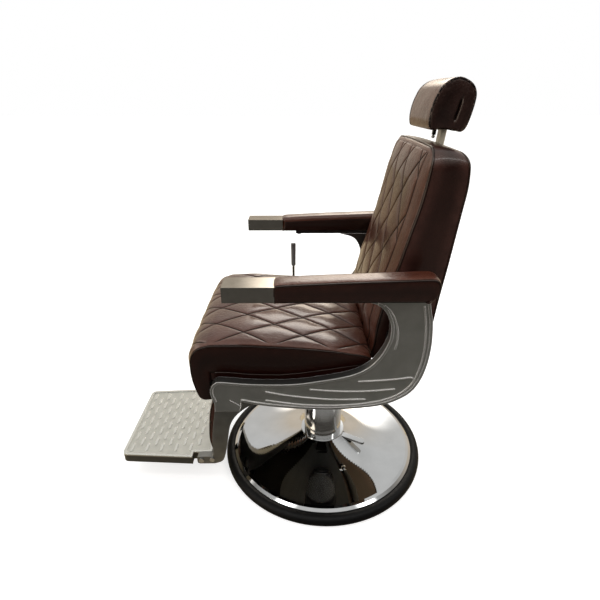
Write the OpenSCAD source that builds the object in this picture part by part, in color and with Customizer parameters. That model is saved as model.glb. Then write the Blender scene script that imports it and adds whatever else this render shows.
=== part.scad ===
// Hydraulic barber chair.
// Millimetres, +Z up, origin on the floor under the middle of the round base.
// The sitter faces -Y, and the sitter's left is +X.

/* [Base] */
// Outer radius of the rubber ring that the chair stands on
base_r = 340; // [310:1:380]
// Radial width of the rubber ring
ring_w = 32; // [27:1:40]
// Height of the rubber ring
ring_h = 34; // [28:1:40]
// Height of the shelf in the ring that carries the dish
ring_shelf = 30; // [24:1:33]
// Sheet thickness of the pressed dish
dish_t = 2.2; // [1.5:0.1:3]
// Height of the rolled lip of the dish
lip_z = 40; // [36:1:46]
// Distance of the lip from the edge of the dish
lip_in = 17; // [12:1:30]
// Height of the dish where it meets the column
neck_z = 85; // [78:1:92]
// How much wider than the column the collar is
collar_w = 12; // [8:1:18]
// Height of the collar
collar_h = 5; // [4:1:9]
// Thickness of the iron floor casting
casting_t = 14; // [10:1:18]

/* [Column] */
// Outer radius of the pump column
column_r = 64; // [60:1:70]
// Height of the top of the column
column_top = 302; // [290:1:340]
// Wall of the column
column_wall = 7; // [5:0.5:8]
// Wall of the cylinder liner inside the column
liner_t = 11; // [8:0.5:12]
// Radius of the piston rod
rod_r = 40; // [34:1:42]
// Height of the piston head
piston_h = 20; // [16:1:26]
// Radial clearance of every running fit
run_gap = 0.05; // [0.02:0.01:0.1]

/* [Pedal] */
// Direction of the pedal, counted from +X towards the back
pedal_dir = 62; // [40:1:80]
// Distance of the pedal's round end from the column's axis
pedal_reach = 158; // [140:1:175]
// Width of the pedal bar
pedal_w = 20; // [14:1:26]
// Thickness of the pedal bar
pedal_t = 8; // [6:1:10]
// Height of the pedal's pivot
pedal_z = 78; // [76:0.5:78]
// Radius of the pedal's pivot pin
pedal_pin_r = 5; // [4:0.5:6]
// Radius of the pump plunger
plunger_r = 7; // [5:0.5:8]

/* [Frame] */
// Half of the width between the two side frames
frame_in = 266; // [256:1:290]
// Thickness of a side frame
frame_t = 26; // [22:1:32]
// Width of the raised rim round a side frame
rim_w = 7; // [5:0.5:9]
// How far the rim and the ribs stand proud
rim_h = 3; // [1.5:0.5:5]
// Width of a cast rib
rib_w = 3.4; // [2.5:0.1:4.5]
// Radius of the backrest's pivot pins
pivot_r = 8; // [6:0.5:10]
// Radius of the bolts that hold the side frames
bolt_r = 5; // [4:0.5:6]

/* [Seat] */
// Gap between the seat and a side frame
seat_gap = 14; // [10:1:20]
// Thickness of the seat board
board_t = 15; // [12:1:18]
// Height of the leather covered seat base above its board
seat_base_h = 23; // [18:1:25]

/* [Arms] */
// Width of an arm
arm_w = 62; // [54:1:72]
// How far the middle of an arm stands outside the middle of its side frame
arm_out = 15; // [8:1:20]
// Distance of the front end of an arm from the column's axis
arm_front = 258; // [230:1:280]
// Length of the polished end cap
tip_l = 120; // [90:1:140]
// Height of the polished end cap
tip_h = 38; // [34:1:44]
// Height of the arm pad
pad_h = 54; // [46:1:60]
// Wall of the end cap
tip_wall = 3; // [2:0.5:4]
// Thickness of the steel bar under the arm
bar_t = 8; // [6:1:9]

/* [Back] */
// Width of the backrest
back_w = 414; // [380:2:430]
// Thickness of the rear panel
panel_t = 8; // [5:1:9]
// Radius of the backrest's cross tube
yoke_r = 14; // [12:1:18]
// Thickness of the backrest's hinge plates
ear_t = 8; // [6:1:10]

/* [Headrest] */
// Width of the headrest pad
headrest_w = 200; // [180:2:260]
// Width of the headrest post
post_w = 28; // [22:1:34]
// Thickness of the headrest post
post_t = 16; // [12:1:17]
// Length of the headrest post
post_l = 210; // [190:1:225]
// Wall of the post's guide
guide_wall = 3; // [2:0.5:4]

/* [Footrest] */
// Half of the width between the two legs
leg_in = 156; // [148:1:176]
// Thickness of a leg
leg_t = 22; // [18:1:26]
// Radius of the legs' hinge pins
leg_pin_r = 7; // [5:0.5:9]
// Thickness of the calf pad
calf_pad_t = 17; // [12:1:18]
// Thickness of the calf board
calf_board_t = 9; // [6:1:10]
// Gap between a leg and the narrow rear part of the footplate
tread_gap = 3; // [2:0.5:5]
// How much narrower the footplate is at its front than across the legs
tread_taper = 15; // [4:1:24]
// Distance of the front edge of the footplate from the column's axis
tread_front = 646; // [600:1:680]
// Height of the top of the footplate
tread_z = 118; // [115:0.5:122]
// Depth of the footplate's side wall
tread_t = 29; // [24:1:30]
// Thickness of the cast walls of the footplate
tread_wall = 5; // [3:0.5:6]
// Width of the footplate's raised rim
tread_rim = 9; // [6:0.5:12]
// Length of a raised tread bar
tread_bar_l = 35; // [26:1:40]
// Width of a raised tread bar
tread_bar_w = 9; // [5:0.5:12]

/* [Lever] */
// Length of the recline lever above its pivot
lever_l = 226; // [190:1:240]
// Radius of the lever's rod
lever_r = 4.5; // [3.5:0.5:6]
// Radius of the lever's grip at its top
grip_r = 9; // [7:0.5:12]
// Length of the grip
grip_l = 86; // [60:1:100]

/* [Hidden] */

$fn = 64;
// Overlap that a cut reaches past the face it opens
cut = 1;
// Column height for which the outlines of the chair are drawn
outline_top = 302;
chair_up = column_top - outline_top;

// Colours
rubber = "#1b1b1c";
chrome = "#cfd1d3";
iron = "#4a4c4e";
steel = "#8e9194";
polished = "#9a9b97";
leather = "#3a211b";
plywood = "#a98557";

// --- Curves -------------------------------------------------------------

// Point at t between b and c on the smooth curve through a, b, c and d
function blend(a, b, c, d, t) = 0.5 * (2 * b + (c - a) * t + (2 * a - 5 * b + 4 * c - d) * t * t
    + (3 * b - a - 3 * c + d) * t * t * t);

// Smooth open curve through the points p, with n steps between two points
function curve(p, n = 4) = concat(
    [for (i = [0 : len(p) - 2]) for (k = [0 : n - 1])
        blend(p[max(i - 1, 0)], p[i], p[i + 1], p[min(i + 2, len(p) - 1)], k / n)],
    [p[len(p) - 1]]);

function unit(v) = v / norm(v);
function left_of(v) = [-v[1], v[0]];
function backwards(p) = [for (i = [len(p) - 1 : -1 : 0]) p[i]];
function shifted(p, v) = [for (q = p) q + v];

// Direction of the open curve p at its point i
function along(p, i) = unit(p[min(i + 1, len(p) - 1)] - p[max(i - 1, 0)]);

// Points of the open curve p moved sideways by d
function beside(p, d) = [for (i = [0 : len(p) - 1]) p[i] + d * left_of(along(p, i))];

// Outline of a strip of width w along the open curve p
function strip(p, w) = concat(beside(p, w / 2), backwards(beside(p, -w / 2)));

// Outline of a strip of width w on the right of the open curve p
function hem(p, w) = concat(p, backwards(beside(p, -w)));

// --- Helpers ------------------------------------------------------------

// Extrudes an outline in depth and height from x0 to x1
module across(x0, x1) translate([x0, 0, 0]) rotate([90, 0, 90]) linear_extrude(x1 - x0) children();

// Round bar along X at depth y and height z
module bar_x(y, z, r, x0, x1) translate([x0, y, z]) rotate([0, 90, 0]) cylinder(r = r, h = x1 - x0);

// Rectangle with round corners, from its lower left corner
module round_rect(w, h, r) {
    translate([r, 0]) square([w - 2 * r, h]);
    translate([0, r]) square([w, h - 2 * r]);
    for (x = [r, w - r], y = [r, h - r]) translate([x, y]) circle(r);
}

module both_sides() {
    children();
    mirror([1, 0, 0]) children();
}

module right_side() mirror([1, 0, 0]) children();

// Lifts what the column carries to the column's height
module chair() translate([0, 0, chair_up]) children();

// Turns the pedal's own frame, with its bar along +X, into the pedal's direction
module at_pedal() rotate([0, 0, pedal_dir]) children();

// --- Base ---------------------------------------------------------------

dish_edge = base_r - ring_w + 2.5;
neck_r = column_r + collar_w;
lip_r = dish_edge - lip_in;
dish_steps = 26;
// How strongly the dish steepens towards the column
dish_power = 3.2;
// Straight flange between the lip and the edge
flange_z = ring_shelf + dish_t;

function dish_z(t) = lip_z + (neck_z - lip_z) * pow(t, dish_power);

dish_top = concat(
    [[dish_edge, flange_z], [lip_r + lip_in / 2, (flange_z + lip_z) / 2 + 2]],
    [for (i = [0 : dish_steps]) let (t = i / dish_steps) [lip_r - t * (lip_r - neck_r), dish_z(t)]]);

// Clearance between the pedal and the openings round it
pedal_slack = 2;
slot_w = pedal_w + 2 * pedal_slack;
// The slot reaches from under the pressed down pedal to above it
slot_low = 46;
slot_high = 98;
// Just over the pedal, outside its pivot
slot_lid = pedal_z + pedal_t / 2 + 0.5;
// How far the notch in the dish reaches from the neck
notch_l = 36;

module pedal_slot(r0, r1, top) at_pedal()
    translate([r0, -slot_w / 2, slot_low]) cube([r1 - r0, slot_w, top - slot_low]);

// Inner radius of the ring at its thickest
ring_in = base_r - max(ring_w, ring_h);
module base_ring() color(rubber) rotate_extrude($fn = 128) {
    translate([base_r - ring_h / 2, ring_h / 2]) circle(ring_h / 2);
    translate([base_r - ring_w, 0]) square([ring_w - ring_h / 2, ring_shelf]);
}

module base_dish() color(chrome) difference() {
    rotate_extrude($fn = 128)
        polygon(concat(dish_top, backwards(shifted(dish_top, [0, -dish_t]))));
    pedal_slot(neck_r - cut, neck_r + notch_l, neck_z + cut);
}

// Clearance over the floor under the iron casting
floor_gap = 4;
hub_r = column_r + 22;
hub_z = 44;
module base_casting() color(iron) rotate_extrude($fn = 96) {
    translate([column_r, floor_gap]) square([ring_in - 0.3 - column_r, casting_t]);
    translate([column_r, floor_gap]) square([hub_r - column_r, hub_z - floor_gap]);
}

collar_edge = 1.5;
collar_z = max(neck_z - dish_t, slot_lid);
module base_collar() color(chrome) rotate_extrude($fn = 96) polygon([[column_r, collar_z],
    [neck_r, collar_z], [neck_r, collar_z + collar_h - collar_edge],
    [neck_r - collar_edge, collar_z + collar_h], [column_r, collar_z + collar_h]]);

column_in = column_r - column_wall;
module pump_column() color(chrome) difference() {
    translate([0, 0, floor_gap]) cylinder(r = column_r, h = column_top - floor_gap, $fn = 96);
    translate([0, 0, floor_gap + casting_t])
        cylinder(r = column_in, h = column_top - floor_gap, $fn = 96);
    pedal_slot(0, column_r + cut, slot_lid);
}

piston_r = column_in - liner_t;
block_top = 112;
gland_h = 24;
gland_low = column_top - 3 - gland_h;
module cylinder_liner() color(steel) translate([0, 0, block_top]) difference() {
    cylinder(r = column_in, h = gland_low - block_top, $fn = 96);
    translate([0, 0, -cut]) cylinder(r = piston_r + run_gap, h = column_top, $fn = 96);
}

seal_h = 6;
seal_r = rod_r + 8;
module cylinder_gland() color(steel) translate([0, 0, gland_low]) difference() {
    cylinder(r = column_in, h = gland_h, $fn = 96);
    translate([0, 0, -cut]) cylinder(r = rod_r + run_gap, h = gland_h + 2 * cut, $fn = 96);
    translate([0, 0, gland_h - seal_h]) cylinder(r = seal_r, h = seal_h + cut, $fn = 96);
}

module wiper_seal() color(rubber) translate([0, 0, gland_low + gland_h - seal_h]) difference() {
    cylinder(r = seal_r, h = seal_h, $fn = 96);
    translate([0, 0, -cut]) cylinder(r = rod_r + run_gap, h = seal_h + 2 * cut, $fn = 96);
}

// Distances along the pedal from the column's axis
pedal_pivot = 38;
plunger_at = 12;
boss_r = pedal_pin_r + 6;
pin_half = 24;
module pump_block() color(iron) difference() {
    translate([0, 0, floor_gap + casting_t])
        cylinder(r = column_in, h = block_top - floor_gap - casting_t, $fn = 96);
    pedal_slot(-pedal_slack, column_r, slot_high);
    at_pedal() {
        translate([pedal_pivot, pin_half, pedal_z]) rotate([90, 0, 0])
            cylinder(r = pedal_pin_r, h = 2 * pin_half);
        translate([plunger_at, 0, slot_low]) cylinder(r = plunger_r + run_gap, h = block_top);
    }
}

module pedal_pin() color(steel) at_pedal()
    translate([pedal_pivot, pin_half, pedal_z]) rotate([90, 0, 0])
        cylinder(r = pedal_pin_r, h = 2 * pin_half);

module pump_pedal() color(chrome) at_pedal() difference() {
    translate([0, 0, pedal_z - pedal_t / 2]) {
        translate([0, -pedal_w / 2, 0]) cube([pedal_reach - pedal_w / 2, pedal_w, pedal_t]);
        translate([pedal_reach - pedal_w / 2, 0, 0]) cylinder(r = pedal_w / 2, h = pedal_t);
        translate([pedal_pivot, pedal_w / 2, pedal_t / 2]) rotate([90, 0, 0])
            cylinder(r = boss_r, h = pedal_w);
    }
    translate([pedal_pivot, pedal_w / 2 + cut, pedal_z]) rotate([90, 0, 0])
        cylinder(r = pedal_pin_r + run_gap, h = pedal_w + 2 * cut);
}

// Gap between the pedal and the plunger that it lifts
touch_gap = 0.6;
plunger_z = pedal_z + pedal_t / 2 + touch_gap;
plunger_rise = 6;
// The plunger's narrow tip, which rides on the pedal
tip_stem_r = 2.5;
tip_stem_h = 9;
module pump_plunger() color(steel) at_pedal() translate([plunger_at, 0, plunger_z]) {
    cylinder(r = tip_stem_r, h = tip_stem_h);
    translate([0, 0, tip_stem_h])
        cylinder(r = plunger_r, h = block_top - plunger_rise - plunger_z - tip_stem_h);
}

// --- Piston -------------------------------------------------------------

piston_z = block_top + 4;
flange_r = rod_r + 14;
flange_h = 6;
rod_flange_z = column_top + 4;
washer_h = 3;
hub_low = rod_flange_z + flange_h + washer_h;
rod_end = hub_low + 36;
seal_groove = 3;

module piston_rod() color(chrome) {
    translate([0, 0, piston_z]) cylinder(r = rod_r, h = rod_end - piston_z, $fn = 96);
    translate([0, 0, rod_flange_z]) cylinder(r = flange_r, h = flange_h, $fn = 96);
}

module piston_ring(z, h, r_out, r_in) translate([0, 0, z]) difference() {
    cylinder(r = r_out, h = h, $fn = 96);
    translate([0, 0, -cut]) cylinder(r = r_in, h = h + 2 * cut, $fn = 96);
}

seal_low = piston_z + piston_h / 2 - seal_h / 2;
module piston_head() color(steel) difference() {
    piston_ring(piston_z, piston_h, piston_r, rod_r);
    piston_ring(seal_low, seal_h, piston_r + cut, piston_r - seal_groove);
}

module piston_seal() color(rubber) piston_ring(seal_low, seal_h, piston_r, piston_r - seal_groove);

module thrust_washer() color("#b08d57")
    piston_ring(rod_flange_z + flange_h, washer_h, flange_r, rod_r);

// --- Chair frame --------------------------------------------------------

// Heights of the layers under the seat, for the outlines' column height
hub_plate_z = 366;
channel_z = 384;
rail_z = 400;
rail_h = 40;
board_z = rail_z + rail_h;
rail_w = 28;
hub_out = rod_r + 20;
plate_half = [130, 160];

module swivel_hub() color(iron) difference() {
    union() {
        translate([0, 0, hub_low]) cylinder(r = hub_out, h = hub_plate_z - hub_low + chair_up + cut);
        chair() translate([-plate_half[0], -plate_half[1], hub_plate_z])
            cube([2 * plate_half[0], plate_half[1] + 110, channel_z - hub_plate_z]);
    }
    translate([0, 0, hub_low - cut]) cylinder(r = rod_r + run_gap, h = rod_end + 2 - hub_low + cut);
}

channel_w = 40;
channel_at = [-140, 60];
// Pivots in depth and height
strut_pivot = [-120, 415];
back_pivot = [150, 455];
leg_pivot = [-300, 350];
foot_pivot = [-391, 108];
lever_pivot = [-102, 440];

lug_t = 8;
rail_front = -316;
rail_back = 104;
strut_r = 10;
strut_pin_r = 4;

module subframe() color(iron) chair() {
    both_sides() translate([frame_in - rail_w, rail_front, rail_z])
        cube([rail_w, rail_back - rail_front, rail_h]);
    for (y = channel_at) translate([rail_w / 2 - frame_in, y, channel_z])
        cube([2 * frame_in - rail_w, channel_w, rail_z - channel_z]);
    // Front cross bar that the legs hang from
    translate([rail_w / 2 - frame_in, rail_front, rail_z]) cube([2 * frame_in - rail_w, 26, rail_h - 2]);
    // Lug and pin for the lock strut
    across(strut_r + 1, strut_r + 1 + lug_t) translate([strut_pivot[0] - 14, channel_z])
        square([28, strut_pivot[1] + 12 - channel_z]);
    bar_x(strut_pivot[0], strut_pivot[1], strut_pin_r, -strut_r, strut_r + 1 + cut);
}

hanger_t = 8;
hanger_in = leg_in + leg_t + 3;
module leg_hangers() color(iron) chair() both_sides() across(hanger_in, hanger_in + hanger_t)
    difference() {
        union() {
            translate([rail_front, leg_pivot[1]]) square([38, rail_z - leg_pivot[1] + rail_h / 2]);
            translate(leg_pivot) circle(18);
        }
        translate(leg_pivot) circle(leg_pin_r);
        translate([rail_front, rail_z]) square([26, rail_h]);
    }

module leg_pins() color(steel) chair() both_sides()
    bar_x(leg_pivot[0], leg_pivot[1], leg_pin_r, leg_in - 4, hanger_in + hanger_t);

// --- Seat ---------------------------------------------------------------

seat_half = frame_in - seat_gap;
seat_front = -322;
seat_back = 98;
module seat_board() color(plywood) chair()
    translate([-seat_half, seat_front, board_z]) cube([2 * seat_half, seat_back - seat_front, board_t]);

base_z = board_z + board_t;
cushion_z = base_z + seat_base_h;
module seat_base() color(leather) chair()
    translate([-seat_half, seat_front, base_z]) cube([2 * seat_half, seat_back - seat_front, seat_base_h]);

seat_top = curve([[-343, 395], [-361, 408], [-371, 436], [-376, 472], [-377, 509], [-371, 536],
    [-351, 560], [-318, 573], [-234, 581], [-150, 581], [-60, 576], [20, 562], [66, 549], [92, 534]]);
module seat_cushion() color(leather) chair() across(-seat_half, seat_half)
    polygon(concat(seat_top, [[99, 516], [seat_back, cushion_z], [seat_front - 1, cushion_z],
        [seat_front - 1, 400], [-328, 395]]));

// --- Side frames --------------------------------------------------------

// Outline of a side frame, clockwise: the front and top edge, then the rear and lower edge
frame_top = 716;
front_edge = curve([[-306, 421], [-313, 446], [-312, 465], [-302, 480], [-284, 486], [-209, 479],
    [-106, 478], [-29, 488], [47, 504], [92, 527], [120, 560], [138, 600], [142, 628],
    [139, 655], [124, 687], [104, 704], [66, frame_top - 2]]);
rear_edge = curve([[228, frame_top - 2], [234, 687], [241, 655], [245, 600], [242, 546], [231, 496],
    [211, 457], [182, 432], [140, 413], [79, 402], [-10, 397], [-100, 402], [-180, 412],
    [-236, 424]]);
frame_outline = concat([[-306, 391]], front_edge, [[66, frame_top], [228, frame_top]], rear_edge,
    [[-240, 391]]);

// Front edge without its last bend, which the arm bar covers
rim_path = [for (i = [0 : len(front_edge) - 5]) front_edge[i]];

// Raised cast lines on the outer face
frame_ribs = [
    [[70, 485], [125, 488], [176, 493], [204, 497], [211, 491]],
    [[-54, 461], [-2, 456], [50, 454], [102, 455], [166, 461]],
    [[-170, 454], [-119, 443], [-80, 437], [-28, 431], [25, 428], [91, 429]],
    [[-170, 427], [-107, 416], [-59, 411], [-1, 409], [52, 411], [105, 418], [143, 428], [176, 444],
        [204, 471], [218, 503], [227, 550], [229, 600], [225, 650], [216, 700]],
    [[121, 702], [136, 688], [149, 665], [158, 636], [160, 606], [156, 582]]];

frame_out = frame_in + frame_t;
slit = [[-264, 428], [-250, 419], [-238, 410]];
// The recline lever turns on a pin in the right frame only
module side_frame(for_lever = false) color(polished) chair() difference() {
    union() {
        across(frame_in, frame_out - rim_h) polygon(frame_outline);
        across(frame_out - rim_h - 1, frame_out) {
            polygon(hem(rim_path, rim_w));
            polygon(hem(rear_edge, rim_w));
            for (p = frame_ribs) polygon(strip(curve(p), rib_w));
        }
    }
    bar_x(back_pivot[0], back_pivot[1], pivot_r, frame_in - cut, frame_out - rim_h - 6);
    if (for_lever) bar_x(lever_pivot[0], lever_pivot[1], bolt_r, frame_in - cut, frame_out + cut);
    for (y = bolt_at) bar_x(y, bolt_z, bolt_r, frame_in - cut, frame_in + bolt_in);
    across(frame_out - rim_h - 1, frame_out + cut) polygon(strip(slit, 3));
}
module side_frame_left() side_frame();
module side_frame_right() right_side() side_frame(for_lever = true);

bolt_at = [-290, -30, 80];
bolt_z = rail_z + 25;
bolt_in = 14;
module frame_bolts() color(steel) chair() both_sides()
    for (y = bolt_at) bar_x(y, bolt_z, bolt_r, frame_in, frame_in + bolt_in);

ear_in = back_w / 2 + 4;
ear_out = ear_in + ear_t;
spacer_gap = 0.5;
module back_pivot_pins() color(steel) chair() both_sides() {
    bar_x(back_pivot[0], back_pivot[1], pivot_r, ear_in - 36, frame_out - rim_h - 6);
    bar_x(back_pivot[0], back_pivot[1], pivot_r + 6, ear_out + spacer_gap, frame_in);
}

module frame_stops() color(rubber) chair() both_sides()
    translate([frame_in + 6, 215, 451]) rotate([-45, 0, 0]) cylinder(r = 6, h = 9, center = true);

// --- Arms ---------------------------------------------------------------

arm_in = frame_in + frame_t / 2 + arm_out - arm_w / 2;
arm_z = frame_top + bar_t;
pad_front = tip_l - arm_front;
pad_back = 236;
core_h = 14;
core_side = 6;
bar_front = -92;
module arm_bar() color(iron) chair() {
    translate([frame_in, bar_front, frame_top]) cube([frame_t, 226 - bar_front, bar_t]);
    // Head of the bolt at the front of the bar
    translate([frame_in + frame_t / 2, bar_front + 12, frame_top - 4]) cylinder(r = 7, h = 4 + cut);
}
module arm_bar_left() arm_bar();
module arm_bar_right() right_side() arm_bar();

module arm_core() color(plywood) chair()
    translate([arm_in + core_side, -arm_front + 20, arm_z + tip_wall + 1])
        cube([arm_w - 2 * core_side, arm_front - 20 + pad_back - 26, core_h]);
module arm_core_left() arm_core();
module arm_core_right() right_side() arm_core();

pad_corner = 16;
module arm_pad() color(leather) chair() difference() {
    across(arm_in, arm_in + arm_w) {
        translate([pad_front, arm_z]) round_rect(pad_back - pad_front, pad_h, pad_corner);
        translate([pad_front, arm_z]) square([60, pad_h - 6]);
    }
    translate([arm_in + core_side, pad_front - cut, arm_z + tip_wall + 1])
        cube([arm_w - 2 * core_side, pad_back - 26 - pad_front + cut, core_h]);
}
module arm_pad_left() arm_pad();
module arm_pad_right() right_side() arm_pad();

tip_z = arm_z + 3;
module arm_tip() color(chrome) chair() translate([arm_in, -arm_front, tip_z]) difference() {
    cube([arm_w, tip_l, tip_h]);
    translate([core_side, 20, tip_wall - 2]) cube([arm_w - 2 * core_side, tip_l, core_h]);
}
module arm_tip_left() arm_tip();
module arm_tip_right() right_side() arm_tip();

// --- Lock strut ---------------------------------------------------------

crank_pin = [150, 412];
strut_l = norm(crank_pin - strut_pivot);
strut_tilt = atan2(crank_pin[1] - strut_pivot[1], crank_pin[0] - strut_pivot[0]);
tube_l = 190;
strut_rod_r = 5;
crank_pin_r = 5;
// The rod's eye is open, so the strut can follow the crank at a constant rate
eye_slack = 7;
eye_r = crank_pin_r + eye_slack + 4;

// Places the strut's own frame, with its axis along +X, at its pivot
module at_strut() chair() translate([0, strut_pivot[0], strut_pivot[1]])
    rotate([strut_tilt, 0, 0]) rotate([0, 0, 90]) children();

module strut_body() color(iron) at_strut() difference() {
    union() {
        rotate([90, 0, 0]) cylinder(r = strut_r, h = 2 * strut_r - 2, center = true);
        rotate([0, 90, 0]) cylinder(r = strut_r, h = tube_l);
    }
    rotate([90, 0, 0]) cylinder(r = strut_pin_r + run_gap, h = 4 * strut_r, center = true);
    translate([22, 0, 0]) rotate([0, 90, 0]) cylinder(r = strut_rod_r + run_gap, h = tube_l);
}

module strut_rod() color(chrome) at_strut() {
    translate([90, 0, 0]) rotate([0, 90, 0]) cylinder(r = strut_rod_r, h = strut_l - eye_r - 90 + 2);
    translate([strut_l, 0, 0]) rotate([90, 0, 0]) difference() {
        cylinder(r = eye_r, h = 10, center = true);
        cylinder(r = crank_pin_r + eye_slack, h = 12, center = true);
    }
}

// --- Backrest -----------------------------------------------------------

// Front, top and rear of the backrest, in depth and height
back_front = curve([[112, 500], [102, 545], [98, 599], [100, 640], [108, 694], [131, 758],
    [152, 819], [165, 868], [174, 916], [185, 972], [196, 1010], [204, 1040], [212, 1052]]);
back_top = [[222, 1058], [252, 1053], [280, 1046]];
back_rear = curve([[296, 1039], [305, 1024], [309, 1000], [309, 972], [302, 910], [296, 854],
    [287, 770], [276, 680], [268, 600], [262, 550], [256, 505]]);
rear_inner = shifted(back_rear, [-panel_t, 0]);
back_half = back_w / 2;

// Way for the post and its guide through the back
module post_way() at_post() translate([0, 0, -guide_l]) post_bar(guide_wall, guide_l + 60);

module back_panel() color(leather) chair() difference() {
    across(-back_half, back_half) polygon(concat(back_rear, backwards(rear_inner)));
    post_way();
}

module back_cushion() color(leather) chair() difference() {
    across(-back_half, back_half) polygon(concat(back_front, back_top, rear_inner));
    post_way();
}

crank_x = 8;
module back_yoke() color(iron) chair() difference() {
    union() {
        bar_x(back_pivot[0], back_pivot[1], yoke_r, -ear_out, ear_out);
        both_sides() across(ear_in, ear_out) polygon([[back_pivot[0] - 16, back_pivot[1]],
            [back_pivot[0] + 24, back_pivot[1]], [232, 545], [232, 590], [150, 590]]);
        // Screws that hold the hinge plates to the back
        both_sides() for (z = [540, 575]) bar_x(190, z, 4, back_half, ear_in + cut);
        // Crank for the lock strut, with its pin
        across(crank_x, crank_x + lug_t) {
            translate([back_pivot[0] - 10, crank_pin[1]]) square([20, back_pivot[1] - crank_pin[1]]);
            translate(crank_pin) circle(10);
        }
        bar_x(crank_pin[0], crank_pin[1], crank_pin_r, -8, crank_x + cut);
    }
    both_sides() bar_x(back_pivot[0], back_pivot[1], pivot_r + run_gap, ear_in - 40, ear_out + cut);
}

// --- Headrest -----------------------------------------------------------

// Point where the post leaves the back, and the post's lean
post_at = [294, 1052];
post_lean = 6;
guide_l = 190;
// How far the guide's top stays below the top of the back
guide_sunk = 20;
post_top = post_at + (55 / cos(post_lean)) * [sin(post_lean), cos(post_lean)];

// Own frame of the post, with its axis along +Z and its zero where it leaves the back
module at_post() translate([0, post_at[0], post_at[1]]) rotate([-post_lean, 0, 0]) children();

// Round edged bar of the post's section, made wider all round by extra
module post_bar(extra, h) linear_extrude(h) translate([-post_w / 2 - extra, -post_t / 2 - extra])
    round_rect(post_w + 2 * extra, post_t + 2 * extra, 3 + extra);

module headrest_guide() color(iron) chair() at_post() translate([0, 0, -guide_l]) difference() {
    post_bar(guide_wall, guide_l - guide_sunk);
    translate([0, 0, -cut]) post_bar(run_gap, guide_l);
}

// Release lever, in the post's own frame
release_half = 5;
release_pin_r = 2;
release_ear = 3;
ear_gap = 0.3;
release_at = -post_t / 2 - 13;
release_up = 27;
release_l = 23;
release_t = 8;
release_ball = 4.5;

eye_half = 6;
knuckle_r = 9;
knuckle_pin_r = 4;
post_up = norm(post_top - post_at);
module headrest_post() color(chrome) chair() at_post() difference() {
    union() {
        translate([0, 0, post_up - 20 - post_l + 20]) post_bar(0, post_l - 20);
        translate([-eye_half, 0, post_up - 20 - cut]) translate([0, -post_t / 2, 0])
            cube([2 * eye_half, post_t, 20 + cut]);
        translate([-eye_half, 0, post_up]) rotate([0, 90, 0]) cylinder(r = knuckle_r, h = 2 * eye_half);
        // Ears for the release lever
        for (x = [-release_half - ear_gap - release_ear, release_half + ear_gap])
            translate([x, -post_t / 2 - 18, release_up - 5]) cube([release_ear, 18 + cut, 10]);
    }
    translate([-post_w / 2, release_at, release_up]) rotate([0, 90, 0])
        cylinder(r = release_pin_r, h = post_w);
    translate([-post_w, 0, post_up]) rotate([0, 90, 0])
        cylinder(r = knuckle_pin_r + run_gap, h = 2 * post_w);
}

fork_t = 5;
fork_in = eye_half + 0.3;
board_y = [post_top[0] + 16, post_top[0] + 24];
module headrest_bracket() color(iron) chair() {
    both_sides() across(fork_in, fork_in + fork_t) {
        translate(post_top) circle(knuckle_r);
        translate([post_top[0], post_top[1] - 8]) square([board_y[0] - post_top[0], 16]);
    }
    bar_x(post_top[0], post_top[1], knuckle_pin_r, -fork_in - cut, fork_in + cut);
}

module headrest_board() color(plywood) chair()
    translate([-headrest_w / 2 + 20, board_y[0], 1092]) cube([headrest_w - 40, board_y[1] - board_y[0], 74]);

headrest_outline = concat(curve([[312, 1077], [320, 1086], [328, 1110], [335, 1142], [336, 1163],
    [326, 1180], [310, 1192], [290, 1197], [270, 1191], [253, 1177], [242, 1154], [235, 1126],
    [231, 1106], [232, 1086]]), [[244, 1082]]);
// Space for the post's knuckle under the pad
pocket = [[post_top[0] - 42, 1070], [board_y[0], post_top[1] + 22]];
module headrest_pad() color(leather) chair() difference() {
    across(-headrest_w / 2, headrest_w / 2) polygon(headrest_outline);
    translate([-post_w / 2 - 4, pocket[0][0], pocket[0][1]])
        cube([post_w + 8, pocket[1][0] - pocket[0][0], pocket[1][1] - pocket[0][1]]);
    translate([-headrest_w / 2 + 20, board_y[0], 1092])
        cube([headrest_w - 40, board_y[1] - board_y[0], 74]);
}

module headrest_release() color(rubber) chair() at_post() translate([0, release_at, release_up]) {
    rotate([0, 90, 0]) cylinder(r = release_t / 2, h = 2 * release_half, center = true);
    translate([-release_half, -release_t / 2, release_ball - release_l])
        cube([2 * release_half, release_t, release_l - release_ball]);
    translate([0, 0, -release_l]) sphere(release_ball, $fn = 32);
    translate([0, 0, -release_l]) cylinder(r = 2, h = release_ball + cut);
    // Pin in the ears
    rotate([0, 90, 0])
        cylinder(r = release_pin_r - run_gap, h = 2 * (release_half + ear_gap + release_ear), center = true);
}

// --- Legs and calf rest -------------------------------------------------

leg_outline = concat(
    curve([[-324, 350], [-317, 366], [-300, 372], [-270, 362], [-224, 332], [-223, 325], [-249, 305],
        [-273, 281], [-290, 250], [-300, 208], [-308, 162], [-315, 126], [-326, 103], [-350, 93]]),
    curve([[-397, 93], [-404, 98], [-404, 116], [-398, 122], [-365, 123], [-353, 130], [-350, 189],
        [-343, 248], [-334, 300]]));
module leg() color(polished) difference() {
    chair() across(leg_in, leg_in + leg_t) polygon(leg_outline);
    chair() bar_x(leg_pivot[0], leg_pivot[1], leg_pin_r + run_gap, leg_in - cut, leg_in + leg_t + cut);
    chair() bar_x(foot_pivot[0], foot_pivot[1], screw_r, leg_in - cut, leg_in + leg_t + cut);
}
module leg_left() leg();
module leg_right() right_side() leg();

tie_r = 8;
module leg_ties() color(iron) chair() for (p = [[-302, 300], [-327, 190]])
    bar_x(p[0], p[1], tie_r, -leg_in, leg_in);

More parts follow.
